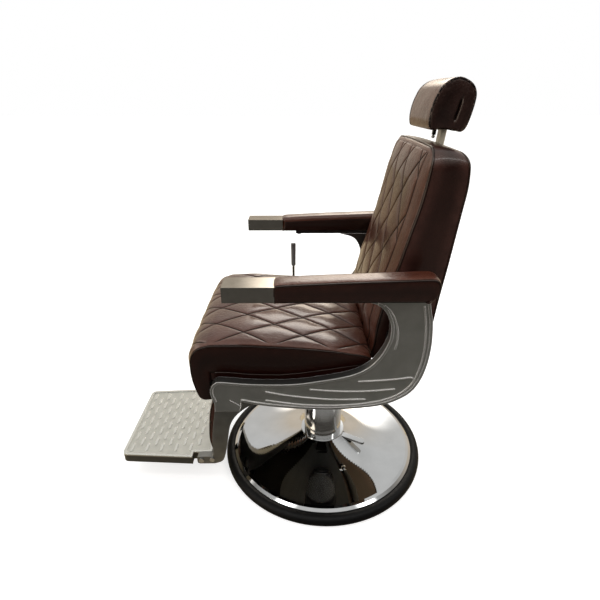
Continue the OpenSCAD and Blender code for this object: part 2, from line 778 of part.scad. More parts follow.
calf_front = curve([[-335, 345], [-342, 318], [-354, 272], [-361, 218], [-363, 168], [-358, 127]]);
calf_gap = 2;
calf_half = leg_in - calf_gap;
module calf_layer(from, to) chair() across(-calf_half, calf_half)
    polygon(concat(shifted(calf_front, [from, 0]), backwards(shifted(calf_front, [to, 0]))));
module calf_board() color(plywood) difference() {
    calf_layer(calf_pad_t, calf_pad_t + calf_board_t);
    leg_ties();
}
module calf_pad() color(leather) calf_layer(0, calf_pad_t);

// --- Footplate ----------------------------------------------------------

screw_r = 5;
head_r = 8;
head_t = 4;
foot_in = leg_in - tread_gap;
boss_l = 9;
leg_out = leg_in + leg_t;
// Place of the second screw, in depth and height
stop_screw = [-357, 111];
module foot_screws() color(chrome) chair() both_sides() {
    bar_x(foot_pivot[0], foot_pivot[1], screw_r, foot_in - tread_wall - boss_l, leg_out + 1);
    for (p = [foot_pivot, stop_screw]) bar_x(p[0], p[1], head_r, leg_out, leg_out + head_t);
}

// Depths where the footplate ends and where it narrows to pass between the legs
tread_back = -362;
tread_notch = -421;
tread_corner = 18;
tread_sink = 2;
foot_low = tread_z - tread_t;

// Right half of the footplate's outline, moved inwards by d, in X and depth
function tread_half(d) = let (front = leg_out - tread_taper - tread_corner, r = tread_corner - d) concat(
    [[foot_in - d, tread_back - d], [foot_in - d, tread_notch - d], [leg_out - 3 - d, tread_notch - d]],
    [for (a = [0 : -10 : -90]) [front + r * cos(a), tread_corner - tread_front + r * sin(a)]]);
module tread_shape(d) polygon(concat(tread_half(d),
    backwards([for (p = tread_half(d)) [-p[0], p[1]]])));

// Pitch of the raised bars across and along the footplate, and their rise
bar_pitch = [52, 23.5];
bar_rise = 1.6;
bar_rows = floor((tread_front + tread_back - 2 * tread_rim - 10) / bar_pitch[1]);
bar_columns = 6;
module tread_bars() for (j = [0 : bar_rows - 1]) let (n = bar_columns - j % 2) for (i = [0 : n - 1])
    translate([(i - (n - 1) / 2) * bar_pitch[0] - tread_bar_l / 2,
        tread_rim + 10 - tread_front + j * bar_pitch[1]])
        round_rect(tread_bar_l, tread_bar_w, tread_bar_w / 2 - 0.01);

module tread_plate() color("#c6c7c2") chair() {
    difference() {
        translate([0, 0, foot_low]) linear_extrude(tread_t) tread_shape(0);
        translate([0, 0, tread_z - tread_sink]) linear_extrude(tread_sink + cut) tread_shape(tread_rim);
        // Hollow under the tread
        translate([0, 0, foot_low - cut])
            linear_extrude(tread_t - tread_sink - tread_wall + cut) tread_shape(tread_wall);
        both_sides() bar_x(foot_pivot[0], foot_pivot[1], screw_r + run_gap,
            foot_in - tread_wall - boss_l - cut, foot_in + cut);
    }
    translate([0, 0, tread_z - tread_sink - cut]) linear_extrude(bar_rise + cut) intersection() {
        tread_bars();
        tread_shape(tread_rim + 1);
    }
}

ear_r = 11;
module foot_ears() color(iron) chair() both_sides() difference() {
    bar_x(foot_pivot[0], foot_pivot[1], ear_r, foot_in - tread_wall - boss_l, foot_in - tread_wall);
    bar_x(foot_pivot[0], foot_pivot[1], screw_r + run_gap, foot_in - tread_wall - boss_l - cut,
        foot_in + cut);
    translate([0, -tread_front, tread_z - tread_sink - tread_wall]) cube(tread_front);
}

bumper_r = 12;
bumper_y = -549;
module foot_bumpers() color(rubber) chair() both_sides()
    translate([leg_out - tread_taper - tread_wall - bumper_r, bumper_y, foot_low - 6])
        cylinder(r = bumper_r, h = tread_t - tread_sink - tread_wall + 6);

// --- Recline lever ------------------------------------------------------

lever_x = frame_out + 18;
lever_hub_r = 14;
module lever_pin() color(steel) chair() right_side()
    bar_x(lever_pivot[0], lever_pivot[1], bolt_r, frame_in, lever_x + 12);

module recline_lever() color(steel) chair() right_side() difference() {
    union() {
        bar_x(lever_pivot[0], lever_pivot[1], lever_hub_r, lever_x - 10, lever_x + 8);
        translate([lever_x, lever_pivot[0], lever_pivot[1]]) cylinder(r = lever_r, h = lever_l - 20);
    }
    bar_x(lever_pivot[0], lever_pivot[1], bolt_r + run_gap, lever_x - 11, lever_x + 9);
}

module lever_grip() color(rubber) chair() right_side()
    translate([lever_x, lever_pivot[0], lever_pivot[1] + lever_l - grip_l]) difference() {
        rotate_extrude() polygon([[0, 0], [grip_r - 3, 0], [grip_r, grip_l - 2], [grip_r - 2, grip_l],
            [0, grip_l]]);
        translate([0, 0, -cut]) cylinder(r = lever_r, h = grip_l - 20 + cut);
    }

base_ring();
base_dish();
base_casting();
base_collar();
pump_column();
cylinder_liner();
cylinder_gland();
wiper_seal();
pump_block();
pedal_pin();
pump_pedal();
pump_plunger();
piston_rod();
piston_head();
piston_seal();
thrust_washer();
swivel_hub();
subframe();
leg_hangers();
leg_pins();
seat_board();
seat_base();
seat_cushion();
side_frame_left();
side_frame_right();
frame_bolts();
back_pivot_pins();
frame_stops();
lever_pin();
arm_bar_left();
arm_bar_right();
arm_core_left();
arm_core_right();
arm_pad_left();
arm_pad_right();
arm_tip_left();
arm_tip_right();
strut_body();
strut_rod();
back_yoke();
back_panel();
back_cushion();
headrest_guide();
headrest_post();
headrest_bracket();
headrest_board();
headrest_pad();
headrest_release();
leg_left();
leg_right();
leg_ties();
calf_board();
calf_pad();
foot_screws();
tread_plate();
foot_ears();
foot_bumpers();
recline_lever();
lever_grip();
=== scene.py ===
# %% [markdown]
# # A hydraulic barber chair
# The chair stands on a chromed dish with a rubber ring. A chromed column holds the oil lift, and on it turn
# a seat between two polished side frames, a reclining backrest with a headrest, and two cast legs with a
# footplate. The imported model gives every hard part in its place, so this file only adds what the eye sees
# first: the padded leather, the finishes, the floor, the light and the camera.

# %% Load the frame
import math

import bpy
import numpy as np
from mathutils import Matrix, Vector


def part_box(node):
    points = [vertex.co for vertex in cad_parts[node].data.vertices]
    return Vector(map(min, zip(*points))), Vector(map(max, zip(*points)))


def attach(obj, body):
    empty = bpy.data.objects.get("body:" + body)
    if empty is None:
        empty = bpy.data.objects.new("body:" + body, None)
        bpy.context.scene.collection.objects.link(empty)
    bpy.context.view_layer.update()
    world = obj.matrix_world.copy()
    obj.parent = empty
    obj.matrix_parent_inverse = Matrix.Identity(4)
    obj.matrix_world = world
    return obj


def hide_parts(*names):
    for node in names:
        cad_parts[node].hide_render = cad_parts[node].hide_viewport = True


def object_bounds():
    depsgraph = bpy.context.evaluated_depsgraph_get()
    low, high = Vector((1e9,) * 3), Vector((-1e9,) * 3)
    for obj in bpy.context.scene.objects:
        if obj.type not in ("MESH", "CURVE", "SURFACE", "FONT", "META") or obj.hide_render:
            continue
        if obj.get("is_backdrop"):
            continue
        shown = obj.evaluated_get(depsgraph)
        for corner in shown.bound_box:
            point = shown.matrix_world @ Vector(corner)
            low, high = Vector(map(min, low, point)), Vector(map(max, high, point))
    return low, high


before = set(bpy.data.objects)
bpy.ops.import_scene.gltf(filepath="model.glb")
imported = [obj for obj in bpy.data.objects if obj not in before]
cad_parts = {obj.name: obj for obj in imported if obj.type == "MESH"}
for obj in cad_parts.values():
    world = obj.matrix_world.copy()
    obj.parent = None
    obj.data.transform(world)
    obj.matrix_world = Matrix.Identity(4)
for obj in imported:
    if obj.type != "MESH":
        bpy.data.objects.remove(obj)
cad_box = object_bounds()
scene = bpy.context.scene
scene.view_settings.view_transform = "Standard"
print("nodes loaded:", len(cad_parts))

# %% [markdown]
# ## Camera
# The chair is seen from the sitter's left, a little above the arms. A camera is a place, a direction and a
# lens. Its own axes are written out here: right, up and back, each a unit vector, which is the plainest way
# to turn a camera exactly. It stands only 1.2 m away with a short lens, so the far arm looks much smaller
# than the near one.

# %% Camera
AZIMUTH, ELEVATION, ROLL = (math.radians(a) for a in (89.5297, 24.2974, 0.0286))
STANDS_AT = (1.2113, -0.0829, 1.1519)
SENSOR_MM = 36
LENS_MM = 25.993
SHIFT_X, SHIFT_Y = -0.0032, -0.0115     # the middle of the view lies a little beside the lens axis
back = Vector((math.sin(AZIMUTH) * math.cos(ELEVATION), -math.cos(AZIMUTH) * math.cos(ELEVATION),
               math.sin(ELEVATION)))
right = Vector((math.cos(AZIMUTH), math.sin(AZIMUTH), 0))
up = back.cross(right)
rolled_right = right * math.cos(ROLL) + up * math.sin(ROLL)
rolled_up = up * math.cos(ROLL) - right * math.sin(ROLL)

lens = bpy.data.cameras.new("camera")
lens.sensor_width = SENSOR_MM
lens.lens = LENS_MM
lens.shift_x = SHIFT_X
lens.shift_y = SHIFT_Y
camera = bpy.data.objects.new("camera", lens)
turn = Matrix((rolled_right, rolled_up, back)).transposed()
camera.matrix_world = Matrix.Translation(STANDS_AT) @ turn.to_4x4()
scene.collection.objects.link(camera)
scene.camera = camera
print("camera stands at", tuple(round(v, 3) for v in camera.location))

# %% [markdown]
# ## Helpers for materials
# A material here is a small graph of nodes. One function turns the hex colours of a paint card into the
# linear values that Blender computes with, and one adds a node: its values and its incoming links go in one
# dictionary. Nearly every finish has soft random patches in its tone and gloss, so they have a function too.

# %% Material helpers
def lin(hex_colour):
    """Linear RGBA of an sRGB hex colour."""
    parts = [int(hex_colour[i:i + 2], 16) / 255 for i in (1, 3, 5)]
    return tuple(c / 12.92 if c <= 0.04045 else ((c + 0.055) / 1.055) ** 2.4 for c in parts) + (1.0,)


def add(tree, kind, values=None, **settings):
    """Adds a node. A value that is a socket is linked to that input, any other is written into it."""
    made = tree.nodes.new("ShaderNode" + kind)
    for name, value in settings.items():
        setattr(made, name, value)
    for name, value in (values or {}).items():
        if isinstance(value, bpy.types.NodeSocket):
            tree.links.new(value, made.inputs[name])
        else:
            made.inputs[name].default_value = value
    return made


def new_material(name):
    """An empty material with its output node, and the object's own coordinates in metres."""
    material = bpy.data.materials.new(name)
    material.use_nodes = True
    tree = material.node_tree
    tree.nodes.clear()
    place = add(tree, "TexCoord").outputs["Object"]
    return material, tree, add(tree, "OutputMaterial"), place


def finish(tree, output):
    """Links the shader that was added last to the material's output."""
    tree.links.new(tree.nodes[-1].outputs[0], output.inputs["Surface"])


MM = 0.001
SMOOTH = {"interpolation_type": "SMOOTHSTEP"}       # a range that starts and ends softly


def patchy(tree, place, size_mm, low=0.0, high=1.0, detail=3.0, start=0.3, end=0.7):
    """Random patches about size_mm across, with values from low to high."""
    noise = add(tree, "TexNoise", {"Vector": place, "Scale": 1 / (size_mm * MM), "Detail": detail})
    return add(tree, "MapRange", {"Value": noise.outputs["Fac"], "From Min": start, "From Max": end,
                                  "To Min": low, "To Max": high}).outputs["Result"]


print("helpers for materials are ready")

# %% [markdown]
# ## Floor, backdrop and light
# The chair stands on a pale floor in a white room. The room could be modelled with walls, but a world that
# is bright above and on the far side and dim behind the camera does the same: chrome has something to
# mirror, and the sides of the cushions stay deep brown. The floor is white for the camera and keeps the
# chair's soft shadow.

# %% World
world = bpy.data.worlds.new("studio")
scene.world = world
world.use_nodes = True
sky = world.node_tree
sky.nodes.clear()
looks_to = add(sky, "TexCoord").outputs["Generated"]
direction = add(sky, "SeparateXYZ", {"Vector": looks_to})
# Dim on the camera's side, bright on the far side
across = add(sky, "MapRange", {"Value": direction.outputs["X"], "From Min": -0.85, "From Max": 0.60,
                               "To Min": 0.62, "To Max": 0.02}, **SMOOTH).outputs["Result"]
overhead = add(sky, "MapRange", {"Value": direction.outputs["Z"], "From Min": 0.35, "From Max": 0.95,
                                 "To Max": 0.65}, **SMOOTH).outputs["Result"]
glow = add(sky, "Math", {0: across, 1: overhead}, operation="MAXIMUM").outputs["Value"]
# Windows with soft edges: the way to each, the angles of its outer and inner rim, and how bright it is
WINDOWS = (
    ((-0.89, 0.12, 0.45), 16, 4, 4.2),      # across the room: the seat and the arms mirror it
    ((-0.30, -0.84, 0.45), 20, 10, 1.1),    # in front of the chair
    ((0.42, -0.89, 0.08), 20, 8, 2.2),      # low, on the near side
    ((0.42, -0.70, 0.57), 7, 2, 9),         # a small lamp, seen only as glints on round edges and puckers
)
for aim, wide, narrow, strength in WINDOWS:
    aimed = add(sky, "VectorMath", {0: looks_to, 1: Vector(aim).normalized()},
                operation="DOT_PRODUCT").outputs["Value"]
    pane = add(sky, "MapRange", {"Value": aimed, "From Min": math.cos(math.radians(wide)),
                                 "From Max": math.cos(math.radians(narrow)),
                                 "To Max": strength}, **SMOOTH).outputs["Result"]
    glow = add(sky, "Math", {0: glow, 1: pane}, operation="ADD").outputs["Value"]
# A long strip lamp above the near side draws a thin light line along each level edge. Its width and length
# come from how far a direction turns aside from its middle.
STRIP_AIM = Vector((0.40, 0.0, 0.92)).normalized()
STRIP_SIDE = Vector((0.92, 0.0, -0.40)).normalized()
off_strip = add(sky, "VectorMath", {0: looks_to, 1: STRIP_SIDE}, operation="DOT_PRODUCT").outputs["Value"]
off_strip = add(sky, "Math", {0: off_strip}, operation="ABSOLUTE").outputs["Value"]
strip_width = add(sky, "MapRange", {"Value": off_strip, "From Min": 0.07, "From Max": 0.02,
                                    "To Max": 4.0}, **SMOOTH).outputs["Result"]
along_strip = add(sky, "VectorMath", {0: looks_to, 1: STRIP_AIM}, operation="DOT_PRODUCT").outputs["Value"]
strip_length = add(sky, "MapRange", {"Value": along_strip, "From Min": 0.60, "From Max": 0.80},
                   **SMOOTH).outputs["Result"]
strip_lamp = add(sky, "Math", {0: strip_width, 1: strip_length}, operation="MULTIPLY").outputs["Value"]
glow = add(sky, "Math", {0: glow, 1: strip_lamp}, operation="ADD").outputs["Value"]
# A cream wall below and a white ceiling above
height = add(sky, "MapRange", {"Value": direction.outputs["Z"], "From Min": 0.3, "From Max": 0.7})
tone = add(sky, "Mix", {"Factor": height.outputs["Result"], "A": lin("#fff0dc"), "B": lin("#fbfbfa")},
           data_type="RGBA").outputs["Result"]
room = add(sky, "Background", {"Color": tone, "Strength": glow})
white = add(sky, "Background", {"Color": (1, 1, 1, 1), "Strength": 1.0})
seen = add(sky, "LightPath").outputs["Is Camera Ray"]
either = add(sky, "MixShader", {0: seen, 1: room.outputs[0], 2: white.outputs[0]})
add(sky, "OutputWorld", {"Surface": either.outputs[0]})
print("world ready")

# %% Floor
floor_mesh = bpy.data.meshes.new("floor")
FAR_OFF = 30        # metres to the floor's edges
corners = [(a * FAR_OFF, b * FAR_OFF, 0) for a, b in ((-1, -1), (1, -1), (1, 1), (-1, 1))]
floor_mesh.from_pydata(corners, [], [(0, 1, 2, 3)])
floor = bpy.data.objects.new("floor", floor_mesh)
scene.collection.objects.link(floor)
floor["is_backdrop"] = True

paper, tree, output, place = new_material("white_paper_floor")
# What the chrome mirrors: the paper ends on the near side of the chair, where the studio's floor is dark
side = add(tree, "SeparateXYZ", {"Vector": place}).outputs["X"]
end = add(tree, "MapRange", {"Value": side, "From Min": 0.10, "From Max": 0.45}, **SMOOTH).outputs["Result"]
shade = add(tree, "Mix", {"Factor": end, "A": lin("#bfae90"), "B": lin("#575654")},
            data_type="RGBA").outputs["Result"]
lit = add(tree, "BsdfDiffuse", {"Color": shade})
# What the camera sees: white with the chair's shadow on it
plain = add(tree, "BsdfDiffuse", {"Color": lin("#c8c8c8")})
shine = add(tree, "Emission", {"Color": (1, 1, 1, 1), "Strength": 0.72})
bright = add(tree, "AddShader", {0: plain.outputs[0], 1: shine.outputs[0]})
seen = add(tree, "LightPath").outputs["Is Camera Ray"]
add(tree, "MixShader", {0: seen, 1: lit.outputs[0], 2: bright.outputs[0]})
finish(tree, output)
floor.data.materials.append(paper)
print("floor ready")


# %% Lamps
def soft_box(name, place, aim, size, watts, tone="#ffffff"):
    """A rectangular lamp at place that shines at aim. Chrome and leather mirror the room, not this lamp."""
    data = bpy.data.lights.new(name, "AREA")
    data.shape = "RECTANGLE"
    data.size, data.size_y = size
    data.energy = watts
    data.color = lin(tone)[:3]
    lamp = bpy.data.objects.new(name, data)
    lamp.location = place
    lamp.rotation_euler = (Vector(aim) - Vector(place)).to_track_quat("-Z", "Y").to_euler()
    lamp.visible_camera = False
    lamp.visible_glossy = False
    scene.collection.objects.link(lamp)


soft_box("ceiling_light", (-0.6, -0.2, 3.6), (0, 0, 0.4), (3.6, 3.6), 44)
soft_box("far_window", (-3.5, -0.10, 2.35), (0, -0.1, 0.6), (1.9, 1.5), 40)
soft_box("near_fill", (2.4, 1.6, 2.2), (0.2, 0.1, 0.8), (1.8, 1.8), 30, "#fff4ea")

# %% [markdown]
# ## Leather
# Chair leather is cowhide, or a coated cloth made to look like it, tanned dark brown and sealed with a clear
# glossy finish. The eye sees four scales: a pebbled grain of about a millimetre, small wrinkles, soft waves
# where the hide is pulled over the foam, and a slow change of tone. The clear finish is a coat over the
# brown, because it gives sharp light edges over a darker, broader shine.

# %% Stitched lines
def sewn_lines(tree):
    """Two masks from what each pad's mesh carries: one on its quilting lines and seams, where the hide folds
    down and the colour gets painted shade, and one on the band beside its seams, where a paler brown is
    painted as a sheen and partly as rubbed dye."""
    sewing = add(tree, "Attribute", attribute_name="sewing").outputs["Vector"]
    p, q, edge = add(tree, "SeparateXYZ", {"Vector": sewing}).outputs
    distances = []
    for sign in ("ADD", "SUBTRACT"):
        family = add(tree, "Math", {0: p, 1: q}, operation=sign).outputs["Value"]
        distances.append(add(tree, "Math", {0: family, 1: 0.5}, operation="PINGPONG").outputs["Value"])
    near = add(tree, "Math", {0: distances[0], 1: distances[1]}, operation="MINIMUM").outputs["Value"]
    # The lines lie 84 mm apart, so 1 mm is 0.012 of the pitch
    line = add(tree, "MapRange", {"Value": near, "From Min": 0.010, "From Max": 0.032, "To Min": 1.0,
                                  "To Max": 0.0}, **SMOOTH).outputs["Result"]
    quilted = add(tree, "Attribute", attribute_name="quilted").outputs["Fac"]
    line = add(tree, "Math", {0: line, 1: quilted}, operation="MULTIPLY").outputs["Value"]
    seam = add(tree, "MapRange", {"Value": edge, "From Min": 1.0 * MM, "From Max": 3.6 * MM, "To Min": 1.0,
                                  "To Max": 0.0}, **SMOOTH).outputs["Result"]
    fold = add(tree, "Math", {0: line, 1: seam}, operation="MAXIMUM").outputs["Value"]
    wear_and_highlight_band = add(tree, "MapRange", {"Value": edge, "From Min": 4 * MM, "From Max": 38 * MM, "To Min": 0.8,
                                    "To Max": 0.0}, **SMOOTH).outputs["Result"]
    return fold, wear_and_highlight_band


print("stitched lines are ready")


# %% Leather material
GRAIN_MM = 2.2          # real grain is 0.8 to 1.2 mm; coarser here so that it shows
GRAIN_DEEP_MM = 0.06
CRUMPLE_MM = 8          # small wrinkles where the hide is worked round the foam
WAVE_MM = 38            # soft waves between the seams
TONE_MM = 90            # slow change of the dye
PUCKER_MM = 7           # beside a seam the hide puckers where the thread shortens it
PUCKER_HIGH_MM = 0.9
STITCH_DEEP_MM = 2.0    # how far the thread pulls the hide down


def brown_leather(name, dark, light, wave_mm, crumple_mm=0.25, sewn=False, wear_and_highlight="#5d3629", clear=0.65):
    """Chrome tanned cowhide, dyed brown and sealed glossy. Waves stand wave_mm proud and small wrinkles
    crumple_mm; the given paler brown is painted beside the seams, a painted sheen that is partly rubbed dye,
    and clear is how much of the gloss is left."""
    made, tree, output, place = new_material(name)
    tone = patchy(tree, place, TONE_MM, start=0.15, end=0.85)
    colour = add(tree, "Mix", {"Factor": tone, "A": lin(dark), "B": lin(light)},
                 data_type="RGBA").outputs["Result"]
    waves = add(tree, "TexNoise", {"Vector": place, "Scale": 1 / (WAVE_MM * MM), "Detail": 3.0})
    pulled = add(tree, "Bump", {"Height": waves.outputs["Fac"], "Distance": wave_mm * MM}).outputs["Normal"]
    crumples = add(tree, "TexNoise", {"Vector": place, "Scale": 1 / (CRUMPLE_MM * MM), "Detail": 4.0,
                                      "Distortion": 0.8}).outputs["Fac"]
    pulled = add(tree, "Bump", {"Height": crumples, "Distance": crumple_mm * MM,
                                "Normal": pulled}).outputs["Normal"]
    pebbles = add(tree, "TexVoronoi", {"Vector": place, "Scale": 1 / (GRAIN_MM * MM)}).outputs["Distance"]
    surface = add(tree, "Bump", {"Height": pebbles, "Distance": GRAIN_DEEP_MM * MM,
                                 "Normal": pulled}).outputs["Normal"]
    rough = patchy(tree, place, 12, 0.30, 0.42, detail=4.0)
    if sewn:
        fold, wear_and_highlight_band = sewn_lines(tree)
        puckers = add(tree, "TexNoise", {"Vector": place, "Scale": 1 / (PUCKER_MM * MM), "Detail": 2.0})
        puckers = add(tree, "Math", {0: puckers.outputs["Fac"], 1: wear_and_highlight_band}, operation="MULTIPLY")
        surface = add(tree, "Bump", {"Height": puckers.outputs["Value"], "Distance": PUCKER_HIGH_MM * MM,
                                     "Normal": surface}).outputs["Normal"]
        # Beside the seams the brown is painted paler in patches: a painted sheen, and partly dye that hands
        # and cleaning cloths rub off
        patches = patchy(tree, place, 28, 0.3, 1.0, detail=5.0, end=0.68)
        pale = add(tree, "Math", {0: wear_and_highlight_band, 1: patches}, operation="MULTIPLY").outputs["Value"]
        colour = add(tree, "Mix", {"Factor": pale, "A": colour, "B": lin(wear_and_highlight)},
                     data_type="RGBA").outputs["Result"]
        # In the fold under the thread the colour is painted near black, as painted shade, and no cloth
        # polishes it
        colour = add(tree, "Mix", {"Factor": fold, "A": colour, "B": lin("#100503")},
                     data_type="RGBA").outputs["Result"]
        rough = add(tree, "Mix", {"Factor": fold, "A": rough, "B": 0.8}).outputs["Result"]
        flat = add(tree, "Math", {0: 1.0, 1: fold}, operation="SUBTRACT").outputs["Value"]
        surface = add(tree, "Bump", {"Height": flat, "Distance": STITCH_DEEP_MM * MM,
                                     "Normal": surface}).outputs["Normal"]
        clear = add(tree, "MapRange", {"Value": fold, "To Min": clear, "To Max": 0.0}).outputs["Result"]
    add(tree, "BsdfPrincipled", {"Base Color": colour, "Roughness": rough, "IOR": 1.5, "Normal": surface,
                                 "Specular Tint": (1.0, 0.84, 0.72, 1.0), "Coat Weight": clear,
                                 "Coat Roughness": 0.15, "Coat IOR": 1.5})
    finish(tree, output)
    return made


# The boxings, side panels and the seat's border get darker copies of the brown: painted shade of the chair's
# dim sides
leather = brown_leather("glossy_brown_cowhide", "#2d110a", "#4f2517", 0.9, 1.5, True)
seat_leather = brown_leather("polished_brown_cowhide", "#2d110a", "#4f2517", 0.9, 1.6, True, clear=1.0)
side_leather = brown_leather("brown_cowhide_with_painted_shade", "#120403", "#1f0906", 0.9, 0.5, True, "#2a110c",
                             clear=0.35)
head_side_leather = brown_leather("brown_cowhide_with_deep_painted_shade", "#140a09", "#221312", 1.2, 1.6, True,
                                  "#33211e")
arm_side_leather = brown_leather("reddish_cowhide_with_painted_shade", "#170907", "#241210", 0.9, 0.5, True, "#341c17",
                                 clear=0.5)
back_side_leather = brown_leather("reddish_brown_cowhide_with_painted_shade", "#1f0f0d", "#301b17", 1.2, 0.6, True,
                                  "#4b302b")
piping_leather = brown_leather("rolled_brown_cowhide_piping", "#180b08", "#26120c", 0.1, 0.05)
print("leather ready")

# %% Gathered piping
# Round the headrest's tight curve the piping is gathered; the crests of its small folds are painted pale, as
# painted highlights
GATHER_MM = 6
GATHER_HIGH_MM = 1.5
gathered_leather, tree, output, place = new_material("gathered_brown_cowhide_piping")
folds = add(tree, "TexNoise", {"Vector": place, "Scale": 1 / (GATHER_MM * MM), "Detail": 2.0}).outputs["Fac"]
crest_highlight = add(tree, "MapRange", {"Value": folds, "From Min": 0.50, "From Max": 0.66},
            **SMOOTH).outputs["Result"]
colour = add(tree, "Mix", {"Factor": crest_highlight, "A": lin("#140908"), "B": lin("#7d6a60")},
             data_type="RGBA").outputs["Result"]
raised = add(tree, "Bump", {"Height": folds, "Distance": GATHER_HIGH_MM * MM}).outputs["Normal"]
add(tree, "BsdfPrincipled", {"Base Color": colour, "Roughness": 0.32, "IOR": 1.5, "Normal": raised,
                             "Coat Weight": 0.6, "Coat Roughness": 0.15})
finish(tree, output)
print("leathers:", len(bpy.data.materials) - 1)

# %% [markdown]
# ## Metals, rubber and paint
# The dish and column are steel with polished chrome: nearly a mirror, with faint smears. The side frames and
# legs are cast aluminium, ground and lacquered, so they are smooth but satin. Their edges are painted a light
# colour, which is a painted highlight and partly wear from hands and shoes: the bevel node looks round every
# sharp edge, and where its normal leaves the true one, an edge is near. A metal keeps Blender's own IOR, and
# its colour is the tint of its reflection.

# %% Metal materials
RIM_HIGH_MM = 3         # the side frames' rims and lines stand proud of the field between them
HOLLOW_MM = 9           # grinding leaves shallow hollows this wide


def metal(name, dark, light, rough, tone_mm=40, edge_mm=0.6, wear_and_highlight=None, metallic=1.0, skin_mm=0.0,
          walls=None):
    """Plated or cast metal. Its tone changes over tone_mm and its gloss, between the two values of rough, over
    half of that. The given edge colour is painted on its edges, a painted highlight that is partly wear,
    skin_mm is the depth of its hollows, and walls is the darker colour painted on the walls nearer to the
    chair's middle, as painted shade."""
    made, tree, output, place = new_material(name)
    tone = patchy(tree, place, tone_mm)
    colour = add(tree, "Mix", {"Factor": tone, "A": lin(dark), "B": lin(light)},
                 data_type="RGBA").outputs["Result"]
    rough = patchy(tree, place, tone_mm / 2, *rough, detail=4.0)
    if walls:
        # Everything nearer to the chair's middle than the outer face takes the darker wall colour: painted
        # shade on the casting's inner walls
        out = add(tree, "SeparateXYZ", {"Vector": place}).outputs["X"]
        out = add(tree, "Math", {0: out}, operation="ABSOLUTE").outputs["Value"]
        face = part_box("side_frame_left")[1].x - RIM_HIGH_MM * MM
        ground = add(tree, "MapRange", {"Value": out, "From Min": face - 0.8 * MM,
                                        "From Max": face - 0.2 * MM}).outputs["Result"]
        colour = add(tree, "Mix", {"Factor": ground, "A": lin(walls), "B": colour},
                     data_type="RGBA").outputs["Result"]
    soft = add(tree, "Bevel", {"Radius": edge_mm * MM}, samples=6).outputs["Normal"]
    values = {"Base Color": colour, "Metallic": metallic, "Roughness": rough, "Normal": soft}
    if skin_mm:
        hollows = add(tree, "TexNoise", {"Vector": place, "Scale": 1 / (HOLLOW_MM * MM), "Detail": 1.0})
        values["Normal"] = add(tree, "Bump", {"Height": hollows.outputs["Fac"], "Distance": skin_mm * MM,
                                              "Normal": soft}).outputs["Normal"]
    if wear_and_highlight:
        # Sharp edges take the light edge colour: a painted highlight, and partly the brightness of rubbed
        # edges
        straight = add(tree, "NewGeometry").outputs["Normal"]
        agree = add(tree, "VectorMath", {0: soft, 1: straight}, operation="DOT_PRODUCT").outputs["Value"]
        wear_and_highlight_band = add(tree, "MapRange", {"Value": agree, "From Min": 0.97, "From Max": 0.89}).outputs["Result"]
        values["Base Color"] = add(tree, "Mix", {"Factor": wear_and_highlight_band, "A": colour, "B": lin(wear_and_highlight)},
                                   data_type="RGBA").outputs["Result"]
        # The edges turn mostly diffuse, so their light colour shows as a painted highlight, where the flat
        # only mirrors the dark floor
        values["Metallic"] = add(tree, "MapRange", {"Value": wear_and_highlight_band, "To Min": metallic,
                                                    "To Max": 0.15}).outputs["Result"]
    add(tree, "BsdfPrincipled", values)
    finish(tree, output)
    return made


chrome = metal("polished_chrome_plate", "#dfe0e0", "#e8e9e9", (0.015, 0.045), 60, 0.5)
column_chrome = metal("hard_chrome_on_ground_tube", "#dcdddd", "#e6e7e7", (0.05, 0.10), 60, 0.5,
                      metallic=0.85)
# The arm tips' chrome is a darker copy of the dish's chrome: painted shade on the tips
tip_chrome = metal("chrome_plate_painted_darker", "#aeaaa2", "#b9b5ad", (0.04, 0.09), 25, 0.8)
# The headrest post's chrome is mostly diffuse and pale cream: a painted reflection of something light
chrome_with_painted_reflection = metal("pale_chrome_painted_reflection", "#ede8d6", "#f7f3e2", (0.28, 0.36), 30, 0.6, metallic=0.15)
ground_casting = metal("ground_lacquered_aluminium", "#aeafaa", "#bdbeb9", (0.30, 0.38), 45, 3.0, "#ffffff",
                       metallic=0.85, skin_mm=0.012, walls="#5c5c5a")
leg_casting = metal("ground_dull_aluminium", "#8b8b87", "#9c9c98", (0.36, 0.46), 30, 1.6, "#c8c8c4",
                    metallic=0.9, skin_mm=0.02)
bright_steel = metal("turned_bright_steel", "#9fa2a5", "#b8bbbd", (0.2, 0.32), 12)
bronze = metal("machined_bearing_bronze", "#a98748", "#c29a58", (0.25, 0.35), 8)
print("metals:", len(bpy.data.materials))

# %% [markdown]
# ## Footplate casting
# The footplate is an aluminium casting that was tumbled bright. Its rim and the tops of its bars are the
# lightest and most polished, the sunk floor between the bars is a little darker, with random patches, and the
# side wall below them is dark grey. All three lie at their own height, so the height picks the finish.

# %% Footplate material
BAR_HIGH_MM = 2         # the rim and the bars stand this high over the floor between them
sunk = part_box("tread_plate")[1].z - BAR_HIGH_MM * MM
tread_casting, tree, output, place = new_material("tumbled_aluminium_casting")
level = add(tree, "SeparateXYZ", {"Vector": place}).outputs["Z"]
on_top = add(tree, "MapRange", {"Value": level, "From Min": sunk + 0.2 * MM,
                                "From Max": sunk + 1.2 * MM}).outputs["Result"]
above_wall = add(tree, "MapRange", {"Value": level, "From Min": sunk - 4 * MM,
                                    "From Max": sunk - 1 * MM}).outputs["Result"]
floor_patches = patchy(tree, place, 30)
sunk_floor = add(tree, "Mix", {"Factor": floor_patches, "A": lin("#cecec6"), "B": lin("#dadad2")},
                 data_type="RGBA").outputs["Result"]
tread = add(tree, "Mix", {"Factor": on_top, "A": sunk_floor, "B": lin("#eeeee6")},
            data_type="RGBA").outputs["Result"]
colour = add(tree, "Mix", {"Factor": above_wall, "A": lin("#5d5e5c"), "B": tread},
             data_type="RGBA").outputs["Result"]
polish = add(tree, "MapRange", {"Value": on_top, "To Min": 0.40, "To Max": 0.22}).outputs["Result"]
